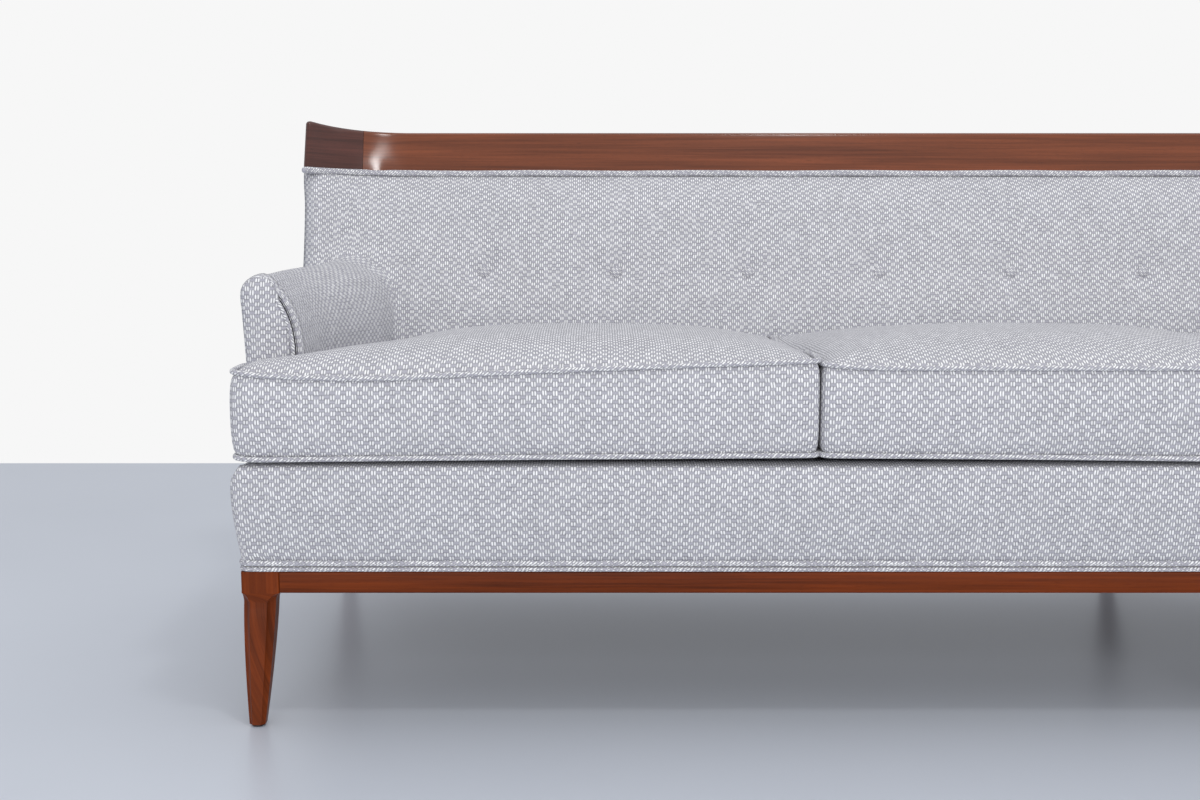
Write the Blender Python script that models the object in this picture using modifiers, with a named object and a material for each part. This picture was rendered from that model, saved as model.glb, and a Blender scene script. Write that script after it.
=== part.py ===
"""Curved-back sofa: wooden base, webbed seat, tufted back with a crest rail, and four loose cushions.

Metres, +Z up, -Y to the front. Depths (y) are measured back from the front of the seat cushions, and the
empty that carries every piece then puts the origin under the middle of the whole.
"""
import math

import bmesh
import bpy

# Gap kept between pieces that touch, and the angle below which facets are shaded smooth
GAP = 0.0003
SMOOTH_ANGLE = math.radians(45.0)

# Wooden base
BASE_WIDTH = 2.572
BASE_FRONT = 0.018
BASE_REAR = 0.652
APRON_BOTTOM = 0.165
APRON_HEIGHT = 0.027
APRON_THICKNESS = 0.022
APRON_EASE = 0.0015
LEG_BLOCK = 0.0465
LEG_FOOT = 0.0195
LEG_SHOULDER_DROP = 0.005
LEG_SHOULDER_HEIGHT = 0.012
LEG_SHOULDER_STEP = 0.0022
LEG_CHAMFER = 0.010
LEG_EASE = 0.0012
LEG_RINGS = 5
LEG_TAPER_POWER = 1.6
LEG_SMOOTH_ANGLE = math.radians(25.0)
FOOT_SPLAY = 0.006
FRONT_RAKE = -0.030
REAR_RAKE = 0.050

# Seat frame and webbing
FRAME_SETBACK = 0.004
FRAME_RAIL = 0.025
FRAME_RAIL_HEIGHT = 0.095
REAR_RAIL_INSET = 0.057
MIDDLE_RAIL_DROP = 0.018
WEBBING_THICKNESS = 0.003
WEBBING_WIDTH = 0.050
WEBBING_STRAPS = 12
WEBBING_CROSS_STRAPS = 4
WEBBING_INSET = 0.004
DUST_COVER = 0.0022
DUST_COVER_LAP = 0.0025

# Padded deck and its front band
DECK_THICKNESS = 0.036
BAND_FRONT = 0.0005
BAND_TUCK = 0.009
BAND_TUCK_START = 0.62
BAND_TOP_ROUND = 0.016
BASE_WELT_RADIUS = 0.0035
BASE_WELT_ROWS = 2
BASE_WELT_STEPS = 7

# Arms
ARM_FRONT = 0.130
ARM_TOP = 0.5475
ARM_WIDTH = 0.0505
ARM_ROUND = 0.018
ARM_LEAN = 0.026
ARM_LEAN_POWER = 1.6
ARM_LEAN_STEPS = 3
ARM_ROLL_DEPTH = 0.0425
ARM_BOARD = 0.020
ARM_PANEL = 0.0145
ARM_STRAIGHT = 0.140
ARM_BACK_LAP = 0.015
ARM_SWEEP_STEPS = 6
ARM_ROUND_STEPS = 4
SIDE_PANEL = 0.0065
SIDE_FLARE = 0.024
CORNER_BASE = 0.035
CORNER_STEPS = 8
CORNER_ROWS = 3

# Back: surface, rake, tufts and curved ends
SEAT_DEPTH = 0.535
SEAT_LINE = 0.447
BACK_RAKE = math.radians(22.0)
BACK_END_INSET = 0.127
BACK_TOP = 0.6745
BACK_PAD = 0.060
BACK_LIP = 0.0345
BACK_LIP_HEIGHT = 0.036
BACK_LIP_FRONT = 0.018
BACK_CROWN = 0.008
BACK_TOP_DEPTH = 0.070
BACK_ROWS_BELOW = 4
BACK_ROWS_ABOVE = 5
BUTTON_COUNT = 11
BUTTON_MARGIN = 0.127
BUTTON_HEIGHT = 0.5265
BUTTON_RADIUS = 0.0095
BUTTON_THICKNESS = 0.008
BUTTON_LIFT = 0.002
BUTTON_SIDES = 10
BUTTON_RINGS = 6
BUTTON_SMOOTH_ANGLE = math.radians(75.0)
TUFT_DEPTH = 0.012
TUFT_REACH = 0.034
COLUMNS_PER_BUTTON = 4
OUTSIDE_PANEL = 0.005
POST_WIDTH = 0.040
POST_INSET = 0.045
WING_ANGLE = math.radians(45.0)
WING_PAD_INNER = 0.045
WING_PAD_EDGE = 0.024
WING_FILLET = 0.022
WING_FILLET_HEIGHT = 0.050
WING_EDGE_ROUND = 0.010
WING_STEPS = 6
WING_ROWS = 6
WING_EDGE_FRONT = 0.35
WING_EDGE_REAR = 0.85
WING_FRAME = 0.018
WING_FRAME_EDGE = 0.008
WING_FRAME_ANGLE = math.radians(34.0)

# Crest rail
CREST_HEIGHT = 0.0605
CREST_THICKNESS = 0.024
CREST_SETBACK = 0.028
CREST_JOINT_ANGLE = math.radians(20.0)
CREST_END_ANGLE = math.radians(46.0)
CREST_TIP_THICKNESS = 0.010
CREST_TIP_SETBACK = 0.010
CREST_TOP_RISE = 0.017
CREST_FOOT_RISE = 0.0073
CREST_ROUND = 0.005
CREST_TIP_ROUND = 0.004
CREST_STEPS = 5
CREST_WELT_RADIUS = 0.0045

# Loose cushions
CUSHION_THICKNESS = 0.1125
CUSHION_CROWN = 0.034
CUSHION_BULGE = 0.010
CUSHION_DRAW = 0.004
CUSHION_WIDTH = 0.5845
CUSHION_GAP = 0.002
CUSHION_CLEARANCE = 0.006
EAR_OVERHANG = 0.0025
CUSHION_COLUMNS = 6
CUSHION_REAR_ROWS = 3
CUSHION_EAR_ROWS = 2

# Heights and places that follow from the sizes above
APRON_TOP = APRON_BOTTOM + APRON_HEIGHT
BASE_HALF = BASE_WIDTH / 2
FRAME_BOTTOM = APRON_TOP + GAP
FRAME_TOP = FRAME_BOTTOM + FRAME_RAIL_HEIGHT
FRAME_HALF = BASE_HALF - FRAME_SETBACK
FRAME_FRONT = BASE_FRONT + FRAME_SETBACK
REAR_RAIL_BACK = BASE_REAR - REAR_RAIL_INSET
WELT_TOP = APRON_TOP + BASE_WELT_ROWS * (2 * BASE_WELT_RADIUS + GAP)
PANEL_BOTTOM = WELT_TOP + GAP
WEBBING_BOTTOM = FRAME_TOP + GAP
DECK_BOTTOM = WEBBING_BOTTOM + WEBBING_THICKNESS + GAP
DECK_TOP = DECK_BOTTOM + DECK_THICKNESS
PANEL_INNER = FRAME_HALF + GAP
PANEL_OUTER = PANEL_INNER + SIDE_PANEL
ARM_INSIDE = FRAME_HALF - ARM_WIDTH
BOARD_INNER = FRAME_HALF - ARM_BOARD
BOARD_TOP = ARM_TOP - ARM_ROLL_DEPTH
BOARD_FRONT = ARM_FRONT + ARM_PANEL + GAP
WELT_LINE = BACK_TOP + GAP + CREST_WELT_RADIUS
CREST_BOTTOM = WELT_LINE + CREST_WELT_RADIUS + GAP
CREST_TOP = CREST_BOTTOM + CREST_HEIGHT
WING_BOTTOM = ARM_TOP + 2 * GAP
SIDE_SLOPE = SIDE_FLARE / (CREST_BOTTOM - PANEL_BOTTOM)
WING_SIDE = PANEL_OUTER + SIDE_SLOPE * (WING_BOTTOM - PANEL_BOTTOM)
BACK_HALF = FRAME_HALF - BACK_END_INSET
WING_RADIUS = (WING_SIDE - BACK_HALF) / math.sin(WING_ANGLE) - WING_PAD_EDGE
BUTTON_PITCH = 2 * (BACK_HALF - BUTTON_MARGIN) / (BUTTON_COUNT - 1)
POST_PLACE = BACK_HALF - POST_INSET
ARM_SWEEP = ARM_INSIDE - BACK_HALF - ARM_BACK_LAP
ARM_SWEEP_START = ARM_FRONT + ARM_STRAIGHT
LIP_BOTTOM = BACK_TOP - BACK_LIP_HEIGHT
RAKE_SLOPE = math.tan(BACK_RAKE)
CUSHION_BOTTOM = DECK_TOP + GAP
CUSHION_TOP = CUSHION_BOTTOM + CUSHION_THICKNESS
EAR_DEPTH = ARM_FRONT - CUSHION_CLEARANCE
EAR_OUTER = FRAME_HALF + EAR_OVERHANG
PAD_BOTTOM = DECK_TOP + GAP

# Colour, roughness and metallic value of each finish
FINISHES = {
    "fabric": ((0.52, 0.53, 0.58), 0.9, 0.0),
    "wood": ((0.16, 0.045, 0.022), 0.25, 0.0),
    "frame_wood": ((0.50, 0.36, 0.22), 0.7, 0.0),
    "webbing": ((0.45, 0.36, 0.24), 0.9, 0.0),
    "lining": ((0.05, 0.05, 0.055), 0.95, 0.0),
}

AXIS_TURN = {
    "x": (math.pi / 2, 0.0, math.pi / 2),
    "y": (math.pi / 2, 0.0, 0.0),
    "z": (0.0, 0.0, 0.0),
}


def clear_scene():
    for old in list(bpy.data.objects):
        bpy.data.objects.remove(old, do_unlink=True)


def new_collection(name):
    collection = bpy.data.collections.new(name)
    bpy.context.scene.collection.children.link(collection)
    return collection


def make_material(name):
    colour, roughness, metallic = FINISHES[name]
    material = bpy.data.materials.new(name)
    material.use_nodes = True
    shader = material.node_tree.nodes["Principled BSDF"]
    shader.inputs["Base Color"].default_value = (*colour, 1.0)
    shader.inputs["Roughness"].default_value = roughness
    shader.inputs["Metallic"].default_value = metallic
    material.diffuse_color = (*colour, 1.0)
    return material


clear_scene()
SOFA = new_collection("curved_sofa")
ROOT = bpy.data.objects.new("sofa_origin", None)
SOFA.objects.link(ROOT)


def add_piece(name, data, finish):
    """Links one finished piece, with a material of its own, under the sofa's empty."""
    piece = bpy.data.objects.new(name, data)
    material = make_material(finish)
    material.name = name + "_" + finish
    data.materials.append(material)
    SOFA.objects.link(piece)
    piece.parent = ROOT
    return piece


def mesh_from(name, bm, smooth_angle=SMOOTH_ANGLE):
    bmesh.ops.recalc_face_normals(bm, faces=bm.faces)
    mesh = bpy.data.meshes.new(name)
    bm.to_mesh(mesh)
    bm.free()
    mesh.shade_smooth()
    mesh.set_sharp_from_angle(angle=smooth_angle)
    return mesh


def box(name, low, high, finish, ease=0.0):
    """A block between two corners, with eased edges where asked."""
    bm = bmesh.new()
    bmesh.ops.create_cube(bm, size=1.0)
    bmesh.ops.scale(bm, vec=[h - l for l, h in zip(low, high)], verts=bm.verts)
    piece = add_piece(name, mesh_from(name, bm), finish)
    piece.location = [(l + h) / 2 for l, h in zip(low, high)]
    if ease:
        bevel = piece.modifiers.new("eased_edges", "BEVEL")
        bevel.width = ease
        bevel.segments = 1
    return piece


def plate(name, outline, axis, low, high, finish, holes=()):
    """A flat outline, in the other two axes, given thickness along an axis."""
    curve = bpy.data.curves.new(name, "CURVE")
    curve.dimensions = "2D"
    curve.fill_mode = "BOTH"
    curve.extrude = (high - low) / 2
    for loop in (outline, *holes):
        spline = curve.splines.new("POLY")
        spline.points.add(len(loop) - 1)
        for point, (a, b) in zip(spline.points, loop):
            point.co = (a, b, 0.0, 1.0)
        spline.use_cyclic_u = True
    piece = add_piece(name, curve, finish)
    piece.rotation_euler = AXIS_TURN[axis]
    piece.location["xyz".index(axis)] = (low + high) / 2
    return piece


def tube(name, path, radius, finish, resolution=1):
    """A round cord along a path."""
    curve = bpy.data.curves.new(name, "CURVE")
    curve.dimensions = "3D"
    curve.bevel_depth = radius
    curve.bevel_resolution = resolution
    curve.use_fill_caps = True
    spline = curve.splines.new("POLY")
    spline.points.add(len(path) - 1)
    for point, place in zip(spline.points, path):
        point.co = (*place, 1.0)
    return add_piece(name, curve, finish)


def loft(name, rings, finish, smooth_angle=SMOOTH_ANGLE, folded=False):
    """A closed solid through rings of equal length. A folded ring runs up one skin and down the other."""
    bm = bmesh.new()
    rows = [[bm.verts.new(place) for place in ring] for ring in rings]
    for row, following in zip(rows, rows[1:]):
        for k in range(len(row)):
            after = (k + 1) % len(row)
            bm.faces.new((row[k], row[after], following[after], following[k]))
    for end in (rows[0], rows[-1]):
        if folded:
            for k in range(len(end) // 2 - 1):
                bm.faces.new((end[k], end[k + 1], end[-2 - k], end[-1 - k]))
        else:
            bm.faces.new(end)
    return add_piece(name, mesh_from(name, bm, smooth_angle), finish)


def lerp(a, b, share):
    return a + (b - a) * share


def spread(low, high, count):
    """Evenly spaced values from low to high, both ends included, in count steps."""
    return [lerp(low, high, k / count) for k in range(count + 1)]


def smooth_step(low, high, value):
    share = min(max((value - low) / (high - low), 0.0), 1.0)
    return share * share * (3.0 - 2.0 * share)


# Curved back: every piece of it follows one line in plan, straight and then turning forward

def line_end(angle):
    return BACK_HALF + WING_RADIUS * angle


def turn_at(u):
    return max(abs(u) - BACK_HALF, 0.0) / WING_RADIUS


def end_share(u):
    return turn_at(u) / CREST_END_ANGLE


def back_point(u, t, z):
    """The place at length u along the back's line, t behind its front surface, at height z."""
    side = math.copysign(1.0, u)
    angle = turn_at(u)
    x = side * (min(abs(u), BACK_HALF) + (WING_RADIUS + t) * math.sin(angle))
    y = SEAT_DEPTH + (z - SEAT_LINE) * RAKE_SLOPE + (WING_RADIUS + t) * math.cos(angle) - WING_RADIUS
    return (x, y, z)


def outside_depth(z):
    """Depth of the outside back's rear face at height z."""
    top = SEAT_DEPTH + (CREST_BOTTOM - SEAT_LINE) * RAKE_SLOPE + BACK_TOP_DEPTH
    return lerp(BASE_REAR, top, (z - PANEL_BOTTOM) / (CREST_BOTTOM - PANEL_BOTTOM))


def outside_inner(z):
    return outside_depth(z) - OUTSIDE_PANEL - GAP


def side_outer(z):
    """Half width of the sofa's side at height z, which flares towards the crest."""
    return PANEL_OUTER + SIDE_SLOPE * (z - PANEL_BOTTOM)


def wing_edge(z):
    """Depth of the rear of a wing's front edge."""
    end = line_end(WING_ANGLE)
    return back_point(end, WING_PAD_EDGE + WING_FRAME_EDGE, z)[1] + GAP


def corner_axes(z):
    """Half width and depth of the rounded rear corner: tight at the base, wide above the arm."""
    level = max(z, WING_BOTTOM)
    wide = side_outer(level) - BACK_HALF
    deep = outside_depth(level) - wing_edge(level)
    share = smooth_step(PANEL_BOTTOM, WING_BOTTOM, z)
    return lerp(CORNER_BASE, wide, share), lerp(CORNER_BASE, deep, share)


def cover_heights():
    """Heights at which the side, the corner and the outside back meet, up to the arm's roll."""
    return spread(PANEL_BOTTOM, BOARD_TOP, CORNER_ROWS)


def corner_start(z):
    """Depth at which the flat side ends and the rounded rear corner begins."""
    return outside_depth(z) - corner_axes(z)[1]


def raked(t, z):
    """Depth and height of a point t behind the front surface of the straight back."""
    return (SEAT_DEPTH + (z - SEAT_LINE) * RAKE_SLOPE + t, z)


# Base

def octagon(center, half, chamfer, z):
    cx, cy = center
    inner = half - chamfer
    corners = [(half, -inner), (half, inner), (inner, half), (-inner, half),
               (-half, inner), (-half, -inner), (-inner, -half), (inner, -half)]
    return [(cx + a, cy + b, z) for a, b in corners]


def make_leg(name, center, lean):
    """A square block with a shoulder below it, then a chamfered taper that leans to its foot."""
    half = LEG_BLOCK / 2
    shoulder_top = APRON_BOTTOM - LEG_SHOULDER_DROP
    taper_top = shoulder_top - LEG_SHOULDER_HEIGHT
    neck = half - LEG_SHOULDER_STEP
    rings = [octagon(center, half, LEG_EASE, APRON_TOP), octagon(center, half, LEG_EASE, shoulder_top)]
    for share in spread(0.0, 1.0, LEG_RINGS):
        size = lerp(neck, LEG_FOOT / 2, share ** LEG_TAPER_POWER)
        chamfer = LEG_CHAMFER * size / neck
        place = (center[0] + lean[0] * share, center[1] + lean[1] * share)
        rings.append(octagon(place, size, chamfer, lerp(taper_top, 0.0, share)))
    loft(name, rings, "wood", LEG_SMOOTH_ANGLE)


def make_base():
    half = LEG_BLOCK / 2
    side = BASE_HALF - half
    front = BASE_FRONT + half
    rear = BASE_REAR - half
    middle_inset = APRON_THICKNESS + GAP
    make_leg("front_left_leg", (-side, front), (-FOOT_SPLAY, FRONT_RAKE))
    make_leg("front_middle_leg", (0.0, front + middle_inset), (0.0, FRONT_RAKE))
    make_leg("front_right_leg", (side, front), (FOOT_SPLAY, FRONT_RAKE))
    make_leg("rear_left_leg", (-side, rear), (-FOOT_SPLAY, REAR_RAKE))
    make_leg("rear_middle_leg", (0.0, rear - middle_inset), (0.0, REAR_RAKE))
    make_leg("rear_right_leg", (side, rear), (FOOT_SPLAY, REAR_RAKE))
    reach = side - half - GAP
    for name, start in (("front_apron", BASE_FRONT), ("rear_apron", BASE_REAR - APRON_THICKNESS)):
        box(name, (-reach, start, APRON_BOTTOM),
            (reach, start + APRON_THICKNESS, APRON_TOP), "wood", APRON_EASE)
    for name, low in (("left_apron", -BASE_HALF), ("right_apron", BASE_HALF - APRON_THICKNESS)):
        box(name, (low, front + half + GAP, APRON_BOTTOM),
            (low + APRON_THICKNESS, rear - half - GAP, APRON_TOP), "wood", APRON_EASE)


def make_base_welt():
    """Double cord that closes the front band against the apron, its two rows joined by their tape."""
    radius = BASE_WELT_RADIUS
    center = FRAME_FRONT - GAP - radius
    heights = [APRON_TOP + GAP + radius + row * (2 * radius - GAP) for row in range(BASE_WELT_ROWS)]
    outline = []
    for height, way in ((heights[0], 1.0), (heights[1], 1.0), (heights[1], -1.0), (heights[0], -1.0)):
        arc = [lerp(-math.pi / 2, math.pi / 2, (k + 0.5) / BASE_WELT_STEPS) for k in range(BASE_WELT_STEPS)]
        for angle in (arc if way > 0 else reversed(arc)):
            outline.append((center + way * radius * math.cos(angle), height + radius * math.sin(angle)))
    plate("front_base_welt", outline, "x", -FRAME_HALF, FRAME_HALF, "fabric")


# Seat frame

def make_seat_frame():
    front_inner = FRAME_FRONT + FRAME_RAIL
    rear_inner = REAR_RAIL_BACK - FRAME_RAIL
    rail_outer = BOARD_INNER - GAP
    box("seat_front_rail", (-FRAME_HALF, FRAME_FRONT, FRAME_BOTTOM),
        (FRAME_HALF, front_inner, FRAME_TOP), "frame_wood")
    reach = rail_outer - FRAME_RAIL - GAP
    box("seat_rear_rail", (-reach, rear_inner, FRAME_BOTTOM),
        (reach, REAR_RAIL_BACK, FRAME_TOP), "frame_wood")
    start = front_inner + GAP
    for hand, low in (("left", -rail_outer), ("right", rail_outer - FRAME_RAIL)):
        box(f"seat_{hand}_rail", (low, start, FRAME_BOTTOM),
            (low + FRAME_RAIL, REAR_RAIL_BACK, FRAME_TOP), "frame_wood")
    box("seat_middle_rail", (-FRAME_RAIL / 2, start, FRAME_BOTTOM),
        (FRAME_RAIL / 2, rear_inner - GAP, FRAME_TOP - MIDDLE_RAIL_DROP), "frame_wood")
    make_webbing(rail_outer - WEBBING_INSET, FRAME_FRONT + WEBBING_INSET, REAR_RAIL_BACK - WEBBING_INSET)
    cover_half = rail_outer - FRAME_RAIL + DUST_COVER_LAP
    leg_inner = APRON_THICKNESS + LEG_BLOCK + 2 * GAP
    box("dust_cover", (-cover_half, BASE_FRONT + leg_inner, APRON_TOP - DUST_COVER),
        (cover_half, BASE_REAR - leg_inner, APRON_TOP), "lining")


def strap_gaps(low, high, straps):
    """Spaces between straps of one width that run side by side from low to high."""
    pitch = (high - low - WEBBING_WIDTH) / (straps - 1)
    return [(low + k * pitch + WEBBING_WIDTH, low + (k + 1) * pitch) for k in range(straps - 1)]


def make_webbing(half, front, rear):
    """Straps woven over the seat rails, which carry the deck."""
    holes = []
    for left, right in strap_gaps(-half, half, WEBBING_STRAPS):
        for near, far in strap_gaps(front, rear, WEBBING_CROSS_STRAPS):
            holes.append([(left, near), (right, near), (right, far), (left, far)])
    outline = [(-half, front), (half, front), (half, rear), (-half, rear)]
    top = WEBBING_BOTTOM + WEBBING_THICKNESS
    plate("seat_webbing", outline, "z", WEBBING_BOTTOM, top, "webbing", holes)


def make_deck():
    inner = BOARD_INNER - GAP
    outer = FRAME_HALF
    ear = ARM_FRONT + ARM_PANEL
    rear = raked(BACK_PAD, DECK_BOTTOM)[0] - GAP
    outline = [(-outer, FRAME_FRONT), (outer, FRAME_FRONT), (outer, ear), (inner, ear),
               (inner, rear), (-inner, rear), (-inner, ear), (-outer, ear)]
    plate("deck_platform", outline, "z", DECK_BOTTOM, DECK_TOP, "fabric")
    back = FRAME_FRONT - GAP
    tuck = lerp(PANEL_BOTTOM, DECK_TOP, BAND_TUCK_START)
    band = [(back, PANEL_BOTTOM), (back, DECK_TOP)]
    for angle in spread(0.0, math.pi / 2, ARM_ROUND_STEPS):
        band.append((BAND_FRONT + BAND_TOP_ROUND * (1.0 - math.sin(angle)),
                     DECK_TOP - BAND_TOP_ROUND * (1.0 - math.cos(angle))))
    band += [(BAND_FRONT, tuck), (BAND_FRONT + BAND_TUCK, PANEL_BOTTOM)]
    plate("deck_front_band", band, "x", -PANEL_OUTER, PANEL_OUTER, "fabric")


# Arms

def arm_rear():
    """Depth at which the arm ends, against the rounded rear corner."""
    return min(corner_start(BOARD_TOP), corner_start(WING_BOTTOM)) - GAP


def arm_inside(y):
    """Half width of the seat between the arms at depth y: the arms turn inward to meet the back."""
    return ARM_INSIDE - ARM_SWEEP * smooth_step(ARM_SWEEP_START, arm_rear(), y)


def arm_lean(y):
    """How far the arm's inside leans out towards its top at depth y."""
    return ARM_LEAN * (1.0 - smooth_step(ARM_SWEEP_START, arm_rear(), y))


def arm_crown(inside, lean):
    """Leaning inside and rounded top of the arm, up to its outer edge, as half widths and heights."""
    shoulder = ARM_TOP - ARM_ROUND
    points = []
    for share in spread(0.0, 1.0, ARM_LEAN_STEPS)[:-1]:
        points.append((inside + lean * share ** ARM_LEAN_POWER, lerp(SEAT_LINE, shoulder, share)))
    for angle in spread(0.0, math.pi / 2, ARM_ROUND_STEPS):
        points.append((inside + lean + ARM_ROUND * (1.0 - math.cos(angle)),
                       shoulder + ARM_ROUND * math.sin(angle)))
    for angle in spread(0.0, math.pi / 2, ARM_ROUND_STEPS):
        points.append((side_outer(BOARD_TOP) - ARM_ROUND * (1.0 - math.sin(angle)),
                       ARM_TOP - ARM_ROUND * (1.0 - math.cos(angle))))
    return points


def make_arm(hand, side):
    bottom = DECK_TOP + GAP
    board = sorted((side * BOARD_INNER, side * FRAME_HALF))
    box(f"{hand}_arm_frame", (board[0], BOARD_FRONT, FRAME_BOTTOM),
        (board[1], arm_rear(), BOARD_TOP), "frame_wood")
    front = [(ARM_INSIDE, bottom)] + arm_crown(ARM_INSIDE, ARM_LEAN) + [(side_outer(bottom), bottom)]
    front = [(side * a, z) for a, z in front]
    plate(f"{hand}_arm_front", front, "y", ARM_FRONT, ARM_FRONT + ARM_PANEL, "fabric")
    make_arm_pad(hand, side, bottom)
    panel = [(corner_start(z) - GAP, z) for z in cover_heights()]
    panel += [(BOARD_FRONT, BOARD_TOP), (BOARD_FRONT, DECK_TOP)]
    panel += [(FRAME_FRONT, DECK_TOP), (FRAME_FRONT, PANEL_BOTTOM)]
    skins = [[(side * (side_outer(z) - inset), y, z) for y, z in panel] for inset in (SIDE_PANEL, 0.0)]
    loft(f"{hand}_outside_arm", skins, "fabric")


def make_arm_pad(hand, side, bottom):
    """Padding over the inside and top of the arm board, from the front panel to the rear corner."""
    stops = [BOARD_FRONT] + spread(ARM_SWEEP_START, arm_rear(), ARM_SWEEP_STEPS)
    hollow = [(side_outer(BOARD_TOP), BOARD_TOP + GAP), (BOARD_INNER - GAP, BOARD_TOP + GAP),
              (BOARD_INNER - GAP, bottom)]
    rings = []
    for stop in stops:
        inside = arm_inside(stop)
        section = [(inside, bottom)] + arm_crown(inside, arm_lean(stop)) + hollow
        rings.append([(side * a, stop, z) for a, z in section])
    loft(f"{hand}_arm_pad", rings, "fabric")


# Back

def button_places():
    return [(k - (BUTTON_COUNT - 1) / 2) * BUTTON_PITCH for k in range(BUTTON_COUNT)]


def tuft(u, z):
    """How far the buttons draw the surface in at one point."""
    depth = 0.0
    for place in button_places():
        away = math.hypot(u - place, z - BUTTON_HEIGHT)
        depth += TUFT_DEPTH * math.exp(-(away / TUFT_REACH) ** 2)
    return depth


def back_front(u, z):
    """Set-back of the back's front surface: a crown, a roll under the crest rail and the tufts."""
    middle = (PAD_BOTTOM + BACK_TOP) / 2
    half = (BACK_TOP - PAD_BOTTOM) / 2
    crown = -BACK_CROWN * (1.0 - ((z - middle) / half) ** 2)
    roll = BACK_LIP_FRONT * smooth_step(LIP_BOTTOM, BACK_TOP, z)
    return crown + roll + tuft(u, z)


def make_back_pad():
    rows = spread(PAD_BOTTOM, BUTTON_HEIGHT, BACK_ROWS_BELOW)
    rows += spread(BUTTON_HEIGHT, BACK_TOP, BACK_ROWS_ABOVE)[1:]
    step = BUTTON_PITCH / COLUMNS_PER_BUTTON
    reach = int((BACK_HALF - step / 2) / step)
    columns = [-BACK_HALF] + [k * step for k in range(-reach, reach + 1)] + [BACK_HALF]
    rear = [(BACK_LIP, BACK_TOP), (BACK_LIP, LIP_BOTTOM), (BACK_PAD, LIP_BOTTOM), (BACK_PAD, PAD_BOTTOM)]
    rings = []
    for u in columns:
        section = [(back_front(u, z), z) for z in rows] + rear
        rings.append([back_point(u, t, z) for t, z in section])
    loft("back_pad", rings, "fabric")


def make_buttons():
    """Covered buttons seated in the tufts, facing the front and leaning back with the rake."""
    for number, u in enumerate(button_places(), start=1):
        name = f"back_button_{number}"
        bm = bmesh.new()
        bmesh.ops.create_uvsphere(bm, u_segments=BUTTON_SIDES, v_segments=BUTTON_RINGS,
                                  radius=BUTTON_RADIUS)
        bmesh.ops.scale(bm, vec=(1.0, 1.0, BUTTON_THICKNESS / (2 * BUTTON_RADIUS)), verts=bm.verts)
        button = add_piece(name, mesh_from(name, bm, BUTTON_SMOOTH_ANGLE), "fabric")
        seat = back_front(u, BUTTON_HEIGHT) - BUTTON_THICKNESS / 2 - BUTTON_LIFT
        button.location = back_point(u, seat, BUTTON_HEIGHT)
        button.rotation_euler.x = math.pi / 2 - BACK_RAKE


def wing_bounds(u):
    """Thickness of a wing's padding and the height of its top at one place along the back."""
    share = turn_at(u) / WING_ANGLE
    return lerp(WING_PAD_INNER, WING_PAD_EDGE, share), BACK_TOP + CREST_FOOT_RISE * end_share(u) ** 2


def make_wing(hand, side):
    end = line_end(WING_ANGLE)
    rings = []
    for u in spread(BACK_HALF + GAP, end - WING_EDGE_ROUND, WING_STEPS):
        thickness, top = wing_bounds(u)
        section = []
        for z in spread(WING_BOTTOM, top, WING_ROWS):
            fillet = WING_FILLET * (1.0 - smooth_step(WING_BOTTOM, WING_BOTTOM + WING_FILLET_HEIGHT, z))
            roll = BACK_LIP_FRONT * smooth_step(top - BACK_LIP_HEIGHT, top, z) * (1.0 - end_share(u))
            section.append((roll - fillet - BACK_CROWN / 2, z))
        section += [(thickness, top), (thickness, WING_BOTTOM)]
        rings.append([back_point(side * u, t, z) for t, z in section])
    thickness, top = wing_bounds(end)
    front = thickness * WING_EDGE_FRONT
    rear = thickness * WING_EDGE_REAR
    edge = [(front, z) for z in spread(WING_BOTTOM, top, WING_ROWS)] + [(rear, top), (rear, WING_BOTTOM)]
    rings.append([back_point(side * end, t, z) for t, z in edge])
    loft(f"{hand}_wing_pad", rings, "fabric")
    make_wing_frame(hand, side)
    make_outside_corner(hand, side)


def make_wing_frame(hand, side):
    """Board behind a wing's padding, which stops short of the rounded rear corner."""
    rings = []
    for u in spread(BACK_HALF + GAP, line_end(WING_FRAME_ANGLE), WING_STEPS):
        thickness, top = wing_bounds(u)
        front = thickness + GAP
        rear = front + lerp(WING_FRAME, WING_FRAME_EDGE, turn_at(u) / WING_FRAME_ANGLE)
        frame = [(front, WING_BOTTOM), (front, top), (rear, top), (rear, WING_BOTTOM)]
        rings.append([back_point(side * u, t, z) for t, z in frame])
    loft(f"{hand}_wing_frame", rings, "frame_wood")


def make_outside_corner(hand, side):
    """Rear corner of the cover: a sheet from the side round to the outside back, up to the crest."""
    heights = cover_heights() + [WING_BOTTOM, CREST_BOTTOM - GAP]
    rings = []
    for angle in spread(0.0, math.pi / 2, CORNER_STEPS):
        outer = [corner_point(angle, z, 0.0) for z in heights]
        inner = [corner_point(angle, z, OUTSIDE_PANEL) for z in reversed(heights)]
        rings.append([(side * x, y, z) for x, y, z in outer + inner])
    loft(f"{hand}_outside_wing", rings, "fabric", folded=True)


def corner_point(angle, z, inset):
    wide, deep = corner_axes(z)
    x = side_outer(z) - wide + GAP + (wide - GAP - inset) * math.sin(angle)
    y = outside_depth(z) - deep + (deep - inset) * math.cos(angle)
    return (x, y, z)


def make_outside_back():
    rings = []
    for z in cover_heights() + [WING_BOTTOM, CREST_BOTTOM - GAP]:
        half = side_outer(z) - corner_axes(z)[0]
        rear = outside_depth(z)
        front = rear - OUTSIDE_PANEL
        rings.append([(-half, rear, z), (half, rear, z), (half, front, z), (-half, front, z)])
    loft("outside_back", rings, "fabric")


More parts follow.
